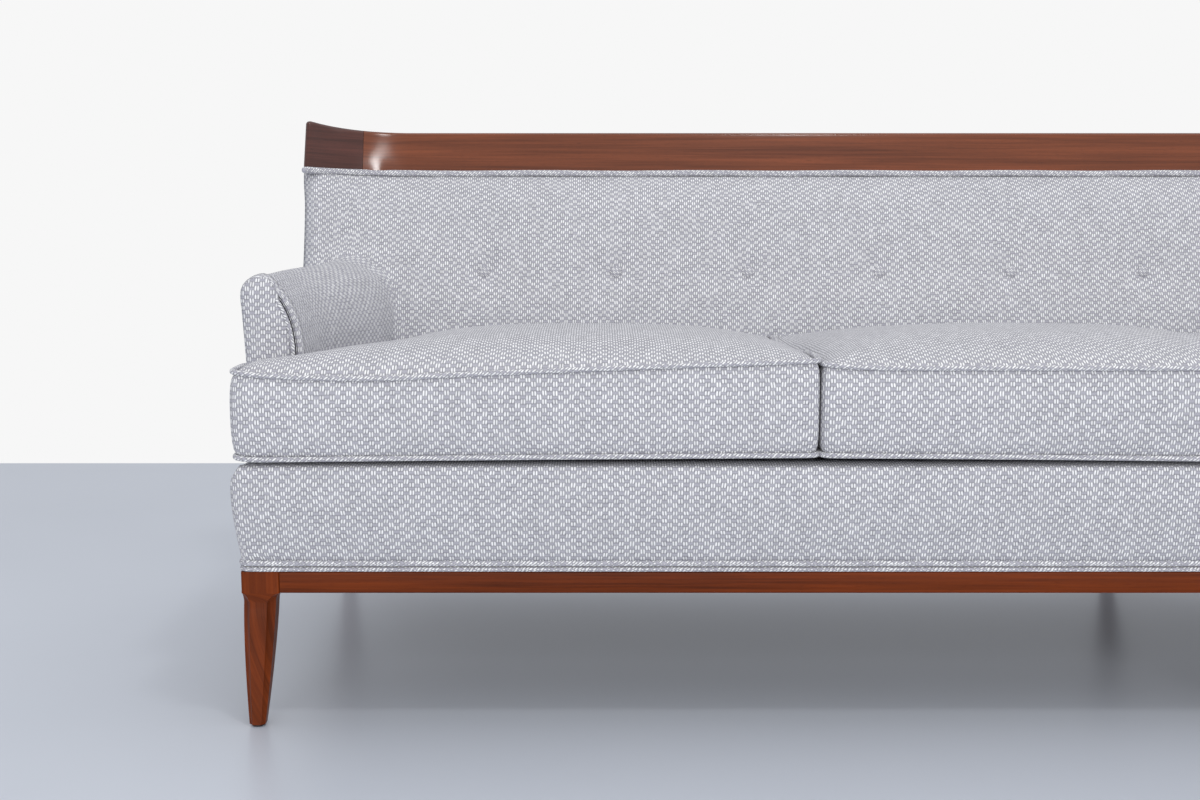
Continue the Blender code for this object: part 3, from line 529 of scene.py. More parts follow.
def make_back_cover():
    """One cover for the back and both wings, which rolls round the wings' front edges."""
    end = line_end(WING_ANGLE) - WING_ROUND - WING_INSET
    wing = np.linspace(BACK_WING_START, end, BACK_WING_STEPS)
    middle = np.linspace(-BACK_WING_START, BACK_WING_START, 2 * int(BACK_WING_START / BACK_STEP) + 1)
    flat = np.concatenate([-wing[::-1], middle[1:-1], wing])
    angles = quarter(5)[1:]
    edge_u = np.concatenate([end + WING_ROUND * np.sin(angles), [end + WING_ROUND] * 3])
    straight = np.array([lerp(WING_ROUND, WING_RETURN, 0.5), WING_RETURN, WING_RETURN])
    edge_t = np.concatenate([WING_ROUND * (1.0 - np.cos(angles)), straight])
    u = np.concatenate([-edge_u[::-1], flat, edge_u])
    inset = np.concatenate([edge_t[::-1], np.zeros_like(flat), edge_t])
    straight[-1] += WING_HEM
    edge_run = np.concatenate([WING_ROUND * angles, WING_ROUND * math.pi / 2 + straight - WING_ROUND])
    run = np.concatenate([-end - edge_run[::-1], flat, end + edge_run])
    top = BACK_TOP + foot_rise(u)
    z = lerp(BACK_COVER_BOTTOM, top, shares(BACK_ROWS)[:, None])
    points = back_points(u, back_surface(u, z) + inset, z)
    points[..., 1] += back_roll(u, z) - arm_hollow(np.abs(points[..., 0]), z)
    uvs = stack(run, lengths(points))
    at_edge = smooth_step(*WING_TUCK_WIDTHS, np.abs(points[..., 0]))
    outward = WING_TOP_FLARE * smooth_step(top - BACK_ROLL_HEIGHT, top, z)
    outward -= WING_TUCK * (1.0 - smooth_step(*WING_TUCK_HEIGHTS, z))
    points[..., 0] += np.sign(points[..., 0]) * outward * at_edge
    points[:, 0, 0] += WING_HEM
    points[:, -1, 0] -= WING_HEM
    piece = cover("back_cover", points, uvs)
    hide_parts("back_pad", "left_wing_pad", "right_wing_pad")


BUTTON_RADIUS = 0.0096
BUTTON_HEIGHT_OUT = 0.0070
BUTTON_SUNK = 0.001
BUTTON_SIDES = 24
BUTTON_BIAS = math.radians(38.0)
BUTTON_GATHER = 1.5
BUTTON_PROFILE = ((0.35, 0.97), (0.62, 0.86), (0.84, 0.62), (0.97, 0.28), (1.0, 0.0), (0.86, -0.28))


def button_uvs(points):
    """UVs of cloth cut on the bias and gathered over a button."""
    x, z = points[..., 0], points[..., 2]
    across = x * math.cos(BUTTON_BIAS) - z * math.sin(BUTTON_BIAS)
    upward = x * math.sin(BUTTON_BIAS) + z * math.cos(BUTTON_BIAS)
    return BUTTON_GATHER * stack(across, upward)


def make_buttons():
    """Covered buttons pulled into the tufts."""
    turn = np.linspace(0.0, 2.0 * math.pi, BUTTON_SIDES + 1)[:-1, None]
    out = np.array([0.0, -math.cos(RAKE), math.sin(RAKE)])
    above = np.array([0.0, math.sin(RAKE), math.cos(RAKE)])
    disc = (np.cos(turn) * np.array([1.0, 0.0, 0.0]) + np.sin(turn) * above) * BUTTON_RADIUS
    for number, u in enumerate(BUTTON_PLACES, start=1):
        middle = back_points(u, back_surface(u, BUTTON_HEIGHT) - BUTTON_SUNK, BUTTON_HEIGHT)
        rings = np.asarray([middle + disc * wide + out * high * BUTTON_HEIGHT_OUT
                            for wide, high in BUTTON_PROFILE])
        loops = np.concatenate([rings, rings[:, :1]], axis=1)
        faces, corners = grid_faces(rings, button_uvs(loops), closed=True, flip=True)
        points = np.concatenate([rings.reshape(-1, 3), [middle + out * BUTTON_HEIGHT_OUT]])
        peak = len(points) - 1
        caps = [[k, (k + 1) % BUTTON_SIDES, peak] for k in range(BUTTON_SIDES)]
        caps.append(list(range(peak - BUTTON_SIDES, peak))[::-1])
        for cap in caps:
            corners.extend(button_uvs(points[cap]))
        piece = add_piece(f"button_{number}", points, faces + caps, corners)
        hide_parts(f"back_button_{number}")


# Arms

ARM_SECTION = ((1.2300, 0.328), (1.2300, 0.400), (1.2288, 0.447), (1.2292, 0.458), (1.2330, 0.483),
               (1.2407, 0.505), (1.2488, 0.519), (1.2585, 0.5305), (1.2650, 0.5395), (1.2720, 0.5445),
               (1.2790, 0.5450), (1.2848, 0.5434), (1.2900, 0.5408), (1.2953, 0.5372), (1.2999, 0.5322),
               (1.3024, 0.5262), (1.3030, 0.5200), (1.3016, 0.505), (1.3010, 0.493))
ARM_SAMPLES = 54
ARM_TURN = 0.525
ARM_BACK_INSIDE = 1.165
ARM_SWEEP_DEPTHS = (0.25, 0.565)
ARM_SWEEP_FULLNESS = 1.5
ARM_OUTER_INSET = 0.0025
ARM_FILLET_LOW = 0.005
ARM_FILLET_INNER = 0.030
ARM_FILLET_TOP = 0.042
ARM_FILLET_OUTER = 0.009
ARM_FILLET_SIDE = 1.300
ARM_FILLET_MIDDLE = math.sqrt(0.5)
ARM_FILLET_END = 0.1
ARM_NEAR_BACK = 0.055
ARM_END_REACH = 0.030
ARM_END_WIDTHS = (1.272, 1.294)
ARM_LIP = 0.0027
ARM_LIP_DEPTH = 0.012
ARM_LIP_FRONT = 0.002
FACING_SLIT = 0.0033
FACING_SLIT_HEIGHTS = (0.508, 0.530)
FACING_FOOT = 0.322
FACING_WELT_TOP = 0.520
FACING_WELT_BACK = 0.0016
FACING_WELT = 0.0034
FACING_PUFF = 0.005
FACING_FLUSH = 0.0012
FACING_SUNK = 0.0028
FACING_TOP_GAP = 0.0012
FACING_TOP_FADE = 0.03


def side_outer(z):
    return PANEL_OUTER + SIDE_SLOPE * (z - PANEL_BOTTOM)


def arm_inside(depth):
    """Half width of the seat at the arms' foot: the arms turn inward to meet the back."""
    return lerp(ARM_INSIDE, ARM_BACK_INSIDE, smooth_step(*ARM_SWEEP_DEPTHS, depth))


def through(points, count):
    """Evenly spaced places on a smooth curve through points."""
    points = np.asarray(points)
    ends = np.concatenate([[2.0 * points[0] - points[1]], points, [2.0 * points[-1] - points[-2]]])
    fine = []
    for a, b, c, d in zip(ends, ends[1:], ends[2:], ends[3:]):
        for t in np.linspace(0.0, 1.0, 12, endpoint=False):
            fine.append(0.5 * (2.0 * b + (c - a) * t + (2.0 * a - 5.0 * b + 4.0 * c - d) * t ** 2
                               + (3.0 * b - a - 3.0 * c + d) * t ** 3))
    fine = np.asarray(fine + [points[-1]])
    run = lengths(fine)
    stops = np.linspace(0.0, run[-1], count)
    return stack(*(np.interp(stops, run, places) for places in fine.T))


def left_normals(line):
    """Normals on the left of a flat line."""
    along = unit(np.gradient(line, axis=0))
    return stack(-along[:, 1], along[:, 0])


# Section of the arm at its front, from the inside over the top to the outside, with outward normals.
ARM_LINE = through(ARM_SECTION, ARM_SAMPLES)
ARM_NORMALS = left_normals(ARM_LINE)
ARM_X, ARM_Z = ARM_LINE.T
ARM_PEAK = int(np.argmax(ARM_Z))


def back_depth(x, z):
    """Depth of the back's or the wing's front surface at a half width and height."""
    angle = np.arcsin(np.clip((x - BACK_HALF) / WING_RADIUS, 0.0, math.sin(WING_ANGLE)))
    setback = back_surface(line_end(angle), z)
    return raked(z) + (WING_RADIUS + setback) * np.cos(angle) - WING_RADIUS


def arm_fillets():
    """Radius of the hollow where each line of the arm meets the back: tight at the seat, wide on the top."""
    peak_x, peak_z = ARM_LINE[ARM_PEAK]
    radius = lerp(ARM_FILLET_LOW, ARM_FILLET_INNER, smooth_step(SEAT_LINE, ARM_TURN, ARM_Z))
    radius = lerp(radius, ARM_FILLET_TOP, smooth_step(ARM_TURN, peak_z, ARM_Z))
    outer = lerp(ARM_FILLET_TOP, ARM_FILLET_OUTER, smooth_step(peak_x, ARM_FILLET_SIDE, ARM_X))
    return np.where(ARM_X > peak_x, outer, radius)


def fillet_lift(distance, fillet):
    """How far a hollow of a given radius stands off at a distance from the surface that it meets."""
    part = np.clip(1.0 - distance / fillet, 0.0, ARM_FILLET_MIDDLE)
    return fillet * (1.0 - np.sqrt(1.0 - part ** 2))


def arm_swept(depth):
    """Half widths of the arm's lines, which follow the sweep of the arm's foot towards the back."""
    share = np.clip(ARM_SWEEP_FULLNESS * (ARM_X.max() - ARM_X) / (ARM_X.max() - ARM_X.min()), 0.0, 1.0)
    share[np.argmax(ARM_X):] = 0.0
    return ARM_X - (ARM_INSIDE - arm_inside(depth)) * share


def arm_hollow(x, z):
    """How far the wing comes forward beside the arm, so that the two meet in the middle of one hollow."""
    depth = back_depth(ARM_X, ARM_Z)
    for _ in range(6):
        depth = back_depth(arm_swept(depth), ARM_Z)
    line = stack(arm_swept(depth), ARM_Z)
    offset = stack(x, z)[:, :, None] - line
    away = np.linalg.norm(offset, axis=-1)
    nearest = np.argmin(away, axis=-1)
    to_nearest = np.take_along_axis(offset, nearest[..., None, None], axis=2)[:, :, 0]
    side = np.sum(to_nearest * left_normals(line)[nearest], axis=-1)
    return fillet_lift(np.sign(side) * away.min(axis=-1), arm_fillets()[nearest])


def make_arm_cover(hand, side):
    """Padding over the inside and top of an arm, which flares into the back in one hollow curve."""
    fillet = arm_fillets()
    start = ARM_FRONT + ARM_LIP_FRONT
    begin = start + ARM_LIP
    lip = [(ARM_LIP, begin + ARM_LIP_DEPTH)]
    lip += [(ARM_LIP * (1.0 - math.sin(a)), start + ARM_LIP * (1.0 - math.cos(a))) for a in quarter(4)[:-1]]
    lines = []
    for inset, depth in lip:
        spot = ARM_LINE - ARM_NORMALS * inset
        lines.append(stack(spot[:, 0], depth, spot[:, 1]))
    for share in shares(40):
        depth = lerp(begin, back_depth(ARM_X, ARM_Z) - ARM_NEAR_BACK, share)
        for _ in range(4):
            depth = lerp(begin, back_depth(arm_swept(depth), ARM_Z) - ARM_NEAR_BACK, share)
        lines.append(stack(arm_swept(depth), depth, ARM_Z))
    reach = ARM_END_REACH * smooth_step(*ARM_END_WIDTHS, ARM_X)
    for share in np.sin(quarter(20))[1:]:
        distance = lerp(ARM_NEAR_BACK, ARM_FILLET_END * fillet, share)
        lift = ARM_NORMALS * fillet_lift(distance, fillet)[:, None]
        depth = back_depth(ARM_X, ARM_Z) - distance
        for _ in range(4):
            spot = stack(arm_swept(depth), ARM_Z) + lift
            depth = back_depth(*spot.T) - distance
        lines.append(stack(spot[:, 0], depth + reach * share, spot[:, 1]))
    points = np.stack(lines, axis=1)
    uvs = stack(lengths(points.swapaxes(0, 1)).T, lengths(points))
    points[..., 0] *= side
    piece = cover(f"{hand}_arm_cover", points, uvs, flip=side > 0)
    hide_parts(f"{hand}_arm_pad")


def make_facing(hand, side):
    """Puffed front panel of an arm, with a welt along its inside edge."""
    top = ARM_Z[ARM_PEAK]
    inner = ARM_LINE[:ARM_PEAK + 1]
    outer = ARM_LINE[:ARM_PEAK - 1:-1]
    low = np.linspace(FACING_FOOT, outer[0, 1], 8)[:-1]
    outer = np.concatenate([stack(side_outer(low) - ARM_OUTER_INSET, low), outer])
    heights = np.concatenate([np.linspace(FACING_FOOT, ARM_TURN, 20)[:-1],
                              lerp(ARM_TURN, top - FACING_TOP_GAP, np.sin(quarter(9)))])
    edges = []
    for line in (inner, outer):
        upward = line[np.argsort(line[:, 1])]
        edges.append(np.interp(heights, upward[:, 1], upward[:, 0]))
    open_slit = 1.0 - smooth_step(*FACING_SLIT_HEIGHTS, heights)
    groove = ARM_LIP + FACING_SLIT + FACING_WELT
    left = np.minimum(edges[0] + groove * open_slit, edges[1] - FACING_TOP_GAP)
    share = shares(13)
    z = heights[:, None]
    x = side * lerp(left[:, None], edges[1][:, None], share)
    from_side = 1.0 - np.abs(2.0 * share - 1.0) ** 4
    from_top = 1.0 - smooth_step(top - FACING_TOP_FADE, top, z) ** 2
    sunk = FACING_FLUSH + FACING_SUNK * open_slit[:, None] * (1.0 - share)
    y = ARM_FRONT + sunk - (sunk + FACING_PUFF) * from_side * from_top
    piece = cover(f"{hand}_arm_facing", stack(x, y, z), stack(x, z), flip=side < 0)
    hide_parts(f"{hand}_arm_front")
    path = (ARM_LINE - ARM_NORMALS * groove)[:ARM_PEAK]
    path = path[path[:, 1] < FACING_WELT_TOP]
    path = stack(side * path[:, 0], ARM_FRONT + FACING_WELT_BACK, path[:, 1])
    welt(f"{hand}_facing_welt", path, FACING_WELT, up=(0.0, 1.0, 0.0))


# Outside panels

OUTSIDE_INSET = 0.0060
OUTSIDE_ROWS = 26
OUTSIDE_EDGE = 0.0035
OUTSIDE_TOP_GAP = 0.0001
OUTSIDE_TUCK = 0.6
CORNER_STEPS = 18
SIDE_TOP = BOARD_TOP + 0.012
SIDE_REAR_TOP = 0.536
SIDE_RISE = (0.80, 0.94)
SIDE_FRONT = ARM_FRONT + 0.0035
SIDE_LAP = 0.001
SIDE_FLUSH_REACH = 0.08
SIDE_TUCK = 0.003
SIDE_TUCK_REACH = 0.05
SIDE_UNDER = 0.003
SIDE_UNDER_START = BOARD_TOP - 0.02
SIDE_UNDER_FULL = BOARD_TOP + 0.01
SIDE_UNDER_REAR = 0.005


def outside_depth(z):
    top = raked(CREST_BOTTOM) + BACK_TOP_DEPTH
    return lerp(BASE_REAR, top, (z - PANEL_BOTTOM) / (CREST_BOTTOM - PANEL_BOTTOM))


def corner_axes(z):
    """Half width and depth of the rounded rear corner: tight at the base, wide above the arm."""
    level = np.maximum(z, WING_BOTTOM)
    wide = side_outer(level) - BACK_HALF
    deep = outside_depth(level) - back_points(line_end(WING_ANGLE), WING_EDGE_DEPTH, level)[..., 1]
    share = smooth_step(PANEL_BOTTOM, WING_BOTTOM, z)
    return lerp(CORNER_BASE, wide, share), lerp(CORNER_BASE, deep, share)


def outside_column(z, turn, side, across):
    """One upright line of the outside back: round a corner where turn is above nought, else straight."""
    wide, deep = corner_axes(z)
    half = side_outer(z) - wide
    inset = OUTSIDE_INSET * math.sin(turn) ** 4
    x = side * (half + (wide - inset) * math.sin(turn)) + across * half
    return stack(x, outside_depth(z) - deep + deep * math.cos(turn), z)


def make_outside_back():
    """Cover of the outside back and the rear corners, tucked in under the crest rail."""
    columns = [(turn, -1.0, 0.0) for turn in quarter(CORNER_STEPS)[:0:-1]]
    columns += [(0.0, 0.0, across) for across in np.linspace(-1.0, 1.0, 60)]
    columns += [(turn, 1.0, 0.0) for turn in quarter(CORNER_STEPS)[1:]]
    lines = []
    for turn, side, across in columns:
        u = side * line_end(CREST_END_ANGLE * turn / (math.pi / 2)) + across * BACK_HALF
        top = CREST_BOTTOM + foot_rise(u) - OUTSIDE_TOP_GAP
        z = lerp(PANEL_BOTTOM, top - OUTSIDE_EDGE, shares(OUTSIDE_ROWS))
        line = outside_column(z, turn, side, across)
        thickness = lerp(CREST_THICKNESS, CREST_TIP_THICKNESS, end_share(u))
        tuck = back_points(u, crest_setback(u) + thickness * OUTSIDE_TUCK, top)
        inward = unit((tuck - line[-1]) * (1.0, 1.0, 0.0))
        rim = []
        for angle in quarter(4)[1:]:
            rise = np.array([0.0, 0.0, OUTSIDE_EDGE * math.sin(angle)])
            rim.append(line[-1] + inward * OUTSIDE_EDGE * (1.0 - math.cos(angle)) + rise)
        lines.append(np.concatenate([line, rim, [lerp(rim[-1], tuck, 0.5), tuck]]))
    points = np.stack(lines, axis=1)
    uvs = stack(lengths(points[OUTSIDE_ROWS // 2]), lengths(points))
    piece = cover("outside_back_cover", points, uvs, PANEL_THICKNESS, True)
    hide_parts("outside_back", "left_outside_wing", "right_outside_wing")


def make_outside_arm(hand, side):
    """Cover of the side under an arm, from the front to the rear corner, where it rises behind the arm."""
    share = shares(60)
    top = lerp(SIDE_TOP, SIDE_REAR_TOP, smooth_step(*SIDE_RISE, share))
    z = lerp(PANEL_BOTTOM, top, shares(24)[:, None])
    y = lerp(SIDE_FRONT, outside_depth(z) - corner_axes(z)[1] + SIDE_LAP, share)
    flush = ARM_OUTER_INSET * (1.0 - smooth_step(SIDE_FRONT, SIDE_FRONT + SIDE_FLUSH_REACH, y))
    tuck = SIDE_TUCK * (1.0 - smooth_step(PANEL_BOTTOM, PANEL_BOTTOM + SIDE_TUCK_REACH, z)) * (1.0 - share)
    under = SIDE_UNDER * smooth_step(SIDE_UNDER_START, SIDE_UNDER_FULL, z)
    under += SIDE_UNDER_REAR * smooth_step(SIDE_UNDER_FULL, SIDE_REAR_TOP, z)
    x = side_outer(z) - flush - tuck - under
    piece = cover(f"{hand}_outside_arm_cover", stack(side * x, y, z), stack(y, z), PANEL_THICKNESS, side < 0)
    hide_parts(f"{hand}_outside_arm")


# Deck and base welt

BAND_FRONT = 0.0005
BAND_HALF = 1.2932
BAND_BOTTOM = PANEL_BOTTOM - 0.002
BAND_TUCK = 0.0099
BAND_FRONT_TUCK = 0.0150
BAND_TUCK_POWER = 1.7
BAND_FULL = 0.297
BAND_ROUND = 0.0065
BAND_SIDE_ROUND = 0.026
BAND_SIDE_FALL = 0.004
BAND_DROP = 0.0010
BAND_LAP = 0.06
BAND_CORNER = 0.014
BAND_CORNER_LEAST = 0.0015
BAND_MITRE = 0.12
BAND_WAVE = 0.0006
DECK_HALF = BAND_HALF - 0.02
DECK_FRONT = 0.045
DECK_REAR = 0.545
DECK_FRONT_EDGE = 0.10
DECK_SIDE_EDGE = 0.08
DECK_DROP = 0.003
DECK_CROWN = 0.0028
DECK_WAVE = 0.0004
DECK_THICKNESS = 0.012
BASE_WELTS = (("base_welt_lower", 0.0032), ("base_welt_upper", 0.0042))
BASE_WELT_CORNER = 0.012
BASE_WELT_PROUD = 0.0015
BASE_WELT_BOTTOM = APRON_TOP + 0.0004
BASE_WELT_STEP = 0.03


def rounded_corner(center, radius, start, steps):
    """Plan points and outward normals of a quarter turn, from the start angle on."""
    angles = start + quarter(steps)
    normals = stack(np.cos(angles), np.sin(angles))
    return np.asarray(center) + radius * normals, normals


def rounded_box(low, high, radius, steps):
    """Points round a rectangle with round corners, from its low corner on."""
    (left, bottom), (right, top) = np.asarray(low) + radius, np.asarray(high) - radius
    centers = ((left, bottom), (right, bottom), (right, top), (left, top))
    return np.concatenate([rounded_corner(center, radius, (k + 2) % 4 * math.pi / 2, steps)[0]
                           for k, center in enumerate(centers)])


def band_plan():
    """Plan of the front band: back along the left side, round the corner, over the front and back again."""
    inner_x = BAND_HALF - BAND_CORNER
    inner_y = BAND_FRONT + BAND_CORNER
    left, left_out = rounded_corner((-inner_x, inner_y), BAND_CORNER, math.pi, 6)
    right, right_out = rounded_corner((inner_x, inner_y), BAND_CORNER, 1.5 * math.pi, 6)
    depth = np.linspace(ARM_FRONT + ARM_PANEL, inner_y, 9)[:-1]
    across = np.linspace(-inner_x, inner_x, 170)[1:-1]
    points = [stack(-BAND_HALF, depth), left, stack(across, BAND_FRONT), right,
              stack(BAND_HALF, depth[::-1])]
    normals = [[(-1.0, 0.0)] * len(depth), left_out, [(0.0, -1.0)] * len(across), right_out,
               [(1.0, 0.0)] * len(depth)]
    return np.concatenate(points), np.concatenate(normals)


def band_profile(radius, tuck, lap_rise):
    """Heights of the band and how far each lies inside its fullest line, for one rounding of its top."""
    top = DECK_TOP - BAND_DROP
    low = np.linspace(BAND_BOTTOM, top - radius, 14)[:-1]
    drop = np.clip((BAND_FULL - low) / (BAND_FULL - PANEL_BOTTOM), 0.0, None)
    turn = quarter(7)
    lap = np.array([0.4, 1.0])
    return np.concatenate([stack(low, tuck * drop ** BAND_TUCK_POWER),
                           stack(top - radius * (1.0 - np.sin(turn)), radius * (1.0 - np.cos(turn))),
                           stack(top + lap_rise * lap, lerp(radius, BAND_LAP, lap))])


def band_slide(plan):
    """Ways in which the plan's points draw inward where the band laps further than its corners are round."""
    side = BAND_HALF - BAND_CORNER
    front = BAND_FRONT + BAND_CORNER
    inward = smooth_step(side - BAND_MITRE, side, np.abs(plan[:, 0]))
    rearward = 1.0 - smooth_step(front, front + BAND_MITRE, plan[:, 1])
    return stack(-np.sign(plan[:, 0]) * inward, rearward)


def make_front_band():
    """Band under the cushions, which laps over the deck and round both front corners."""
    plan, normals = band_plan()
    sideways = np.abs(normals[:, :1])
    front = band_profile(BAND_ROUND, BAND_FRONT_TUCK, BAND_DROP)[:, None]
    profile = lerp(front, band_profile(BAND_SIDE_ROUND, BAND_TUCK, -BAND_SIDE_FALL)[:, None], sideways)
    z = profile[..., 0]
    uneven = BAND_WAVE * np.sin(9.0 * plan[:, 0] + 0.4) * np.sin(38.0 * z)
    inset = (profile[..., 1] + uneven)[..., None]
    straight = np.minimum(inset, BAND_CORNER - BAND_CORNER_LEAST)
    spots = plan - normals * straight + band_slide(plan) * (inset - straight)
    points = np.concatenate([spots, z[..., None]], axis=-1)
    piece = cover("front_band_cover", points, stack(lengths(plan), lengths(profile)))
    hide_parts("deck_front_band")


def make_deck_cover():
    """Padded platform under the loose cushions."""
    x = np.linspace(-DECK_HALF, DECK_HALF, 130)
    y = np.linspace(DECK_FRONT, DECK_REAR, 30)[:, None]
    edge = np.minimum(smooth_step(DECK_FRONT, DECK_FRONT_EDGE, y),
                      smooth_step(-DECK_HALF, -DECK_HALF + DECK_SIDE_EDGE, -np.abs(x)))
    z = DECK_TOP - DECK_DROP + DECK_CROWN * edge + DECK_WAVE * np.sin(31.0 * x) * np.sin(27.0 * y)
    piece = cover("deck_cover", stack(x, y, z), stack(x, y), DECK_THICKNESS)
    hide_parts("deck_platform")


def make_base_welts():
    """Double welt between the covers and the wooden base, all round from the front right corner."""
    steps = 5
    plan = rounded_box((-BASE_HALF, BASE_FRONT - BASE_WELT_PROUD), (BASE_HALF, BASE_REAR - BASE_WELT_PROUD),
                       BASE_WELT_CORNER, steps)
    plan = np.roll(plan, -steps - 1, axis=0)
    dense = []
    for spot, following in zip(plan, np.roll(plan, -1, axis=0)):
        count = max(int(np.linalg.norm(following - spot) / BASE_WELT_STEP), 1)
        dense.extend(lerp(spot, following, k / count) for k in range(count))
    dense = np.asarray(dense)
    low = BASE_WELT_BOTTOM
    for name, radius in BASE_WELTS:
        piece = welt(name, stack(*dense.T, low + radius), radius, closed=True)
        low += 2.0 * radius
        if name == "base_welt_lower":
            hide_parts("front_base_welt")


# Wood

CREST_TOP_ROUND = 0.0035
CREST_TOP_ROUND_SHARE = 2.2
CREST_TIP_ROUND_SHARE = 2.6
CREST_FACE_CROWN = 0.0005
CREST_FLARE = 0.0065
CREST_FLARE_ANGLE = math.radians(13.0)
CREST_FLARE_REACH = math.radians(8.0)
CREST_FLARE_POWER = 1.75
CREST_REACH = 0.006
CREST_WELT = 0.0058
CREST_WELT_REACH = 0.0025
CREST_WELT_PROUD = 0.001
CREST_WELT_WAVE = 0.0005
CREST_SHARP = 50.0
LEG_SHARP = 50.0
APRON_SHARP = 40.0


def make_crest_welt():
    end = line_end(CREST_END_ANGLE) + CREST_REACH + CREST_WELT + CREST_WELT_REACH
    bend = np.linspace(BACK_HALF, end, 20)
    u = np.concatenate([-bend[:0:-1], np.linspace(-BACK_HALF, BACK_HALF, 120), bend[1:]])
    height = WELT_LINE + foot_rise(u) + CREST_WELT_WAVE * np.sin(25.0 * u)
    piece = welt("crest_welt_cord", back_points(u, crest_setback(u) - CREST_WELT_PROUD, height), CREST_WELT)
    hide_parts("crest_welt")


def crest_section(u, shrink=0.0):
    """Upright section of the crest rail, thinner, taller and less set back towards its ends."""
    share = end_share(u)
    front = crest_setback(u) + shrink
    rear = lerp(CREST_SETBACK + CREST_THICKNESS, CREST_TIP_SETBACK + CREST_TIP_THICKNESS, share) - shrink
    low = CREST_BOTTOM + foot_rise(u)
    high = CREST_TOP + CREST_TOP_RISE * share ** 2 - shrink
    ease = min(CREST_TOP_ROUND, (rear - front) / CREST_TOP_ROUND_SHARE)
    flare = CREST_FLARE * math.exp(-((turn_at(u) - CREST_FLARE_ANGLE) / CREST_FLARE_REACH) ** 2)
    rise = shares(12)
    proud = CREST_FACE_CROWN * arch(rise) + flare * (1.0 - rise) ** CREST_FLARE_POWER
    turn = quarter(5)
    near = ease * (1.0 - np.cos(turn))
    far = ease * (1.0 - np.sin(turn))
    section = np.concatenate([stack(front - proud, lerp(low, high - ease, rise)),
                              stack(front + near, high - far)[1:], stack(rear - far, high - near),
                              stack(rear, lerp(high - ease, low, np.array([0.35, 0.7, 1.0])))])
    return back_points(u, section[:, 0], section[:, 1])


def make_crest():
    """Crest rail in three lengths: a straight middle and two ends that thin out to round tips."""
    joint = line_end(CREST_JOINT_ANGLE)
    end = line_end(CREST_END_ANGLE) + CREST_REACH
    bend = np.linspace(BACK_HALF, joint - JOINT_GAP / 2, 12)
    stops = np.concatenate([-bend[::-1], np.linspace(-BACK_HALF, BACK_HALF, 60)[1:-1], bend])
    piece = loft("crest_rail_wood", [crest_section(u) for u in stops], RAIL_WOOD, CREST_SHARP)
    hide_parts("crest_rail")
    for hand, side in HANDS:
        stops = np.linspace(joint + JOINT_GAP / 2, end - CREST_TIP_THICKNESS / 2, 14)
        rings = [crest_section(side * u) for u in stops]
        for angle in quarter(4)[1:]:
            u = stops[-1] + CREST_TIP_THICKNESS / 2 * math.sin(angle)
            shrink = CREST_TIP_THICKNESS / CREST_TIP_ROUND_SHARE * (1.0 - math.cos(angle))
            rings.append(crest_section(side * u, shrink))
        if side < 0:
            rings.reverse()
        # The ends take the darker wood, a painted dark reflection on their turned faces.
        piece = loft(f"{hand}_crest_end_wood_painted_reflection", rings, DARK_REFLECTION_END_WOOD, CREST_SHARP)
        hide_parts(f"{hand}_crest_end")


LEG_SHOULDER = 0.1650
LEG_NECK = 0.1530
LEG_NECK_STEP = 0.0036
LEG_NECK_SHIFT = 0.0030
LEG_EASE = 0.0012
LEG_CHAMFER_SHARE = 0.46
LEG_HOLLOW = 0.14
LEG_TAPER_POWER = 1.55
LEG_FLAT_SHARES = (-1.0, -0.88, 0.0, 0.88, 1.0)
LEG_HOLLOW_SHARES = (0.10, 0.5, 0.90)
GLIDE_HEIGHT = 0.003
GLIDE_PROFILE = ((0.0070, 0.0), (0.0080, 0.0008), (0.0080, GLIDE_HEIGHT - 0.0004), (0.0076, GLIDE_HEIGHT))
APRON_EASE = 0.0022
APRON_STEP = 0.05


def leg_ring(center, half, chamfer, hollow, z):
    """Square section with cut corners, hollow where asked."""
    points = []
    inner = half - chamfer
    for k in range(4):
        way = np.array([math.cos(k * math.pi / 2), math.sin(k * math.pi / 2)])
        turn = np.array([-way[1], way[0]])
        points += [way * half + turn * inner * share for share in LEG_FLAT_SHARES]
        start = way * half + turn * inner
        end = turn * half + way * inner
        inward = -(way + turn) / math.sqrt(2.0)
        for share in LEG_HOLLOW_SHARES:
            points.append(lerp(start, end, share) + inward * hollow * chamfer * arch(share))
    return stack(*(np.asarray(points) + center).T, z)


def make_leg(name, center, lean):
    """A square block, rounded shoulders and a taper whose corners are cut to hollow facets."""
    half = LEG_BLOCK / 2
    neck = half - LEG_NECK_STEP
    center = np.asarray(center)
    foot = center + lean
    top = center + LEG_NECK_SHIFT * np.sign(lean)
    rings = [leg_ring(center, half, LEG_EASE, 0.0, z) for z in (APRON_TOP, LEG_SHOULDER)]
    for share in shares(9)[1:]:
        drawn = 1.0 - (1.0 - share) ** 2
        chamfer = lerp(LEG_EASE, neck * LEG_CHAMFER_SHARE, math.sqrt(share))
        size = lerp(half, neck, drawn)
        z = lerp(LEG_SHOULDER, LEG_NECK, share)
        rings.append(leg_ring(lerp(center, top, drawn), size, chamfer, LEG_HOLLOW * share, z))
    for share in shares(18)[1:]:
        size = lerp(neck, LEG_FOOT / 2, share ** LEG_TAPER_POWER)
        z = lerp(LEG_NECK, GLIDE_HEIGHT, share)
        rings.append(leg_ring(lerp(top, foot, share), size, size * LEG_CHAMFER_SHARE, LEG_HOLLOW, z))
    piece = loft(name + "_wood", rings[::-1], BASE_WOOD, LEG_SHARP)
    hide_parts(name)
    turn = np.linspace(0.0, 2.0 * math.pi, 21)[:-1]
    disc = [stack(foot[0] + np.cos(turn) * radius, foot[1] + np.sin(turn) * radius, z)
            for radius, z in GLIDE_PROFILE]
    loft(name + "_glide", disc, GLIDE)


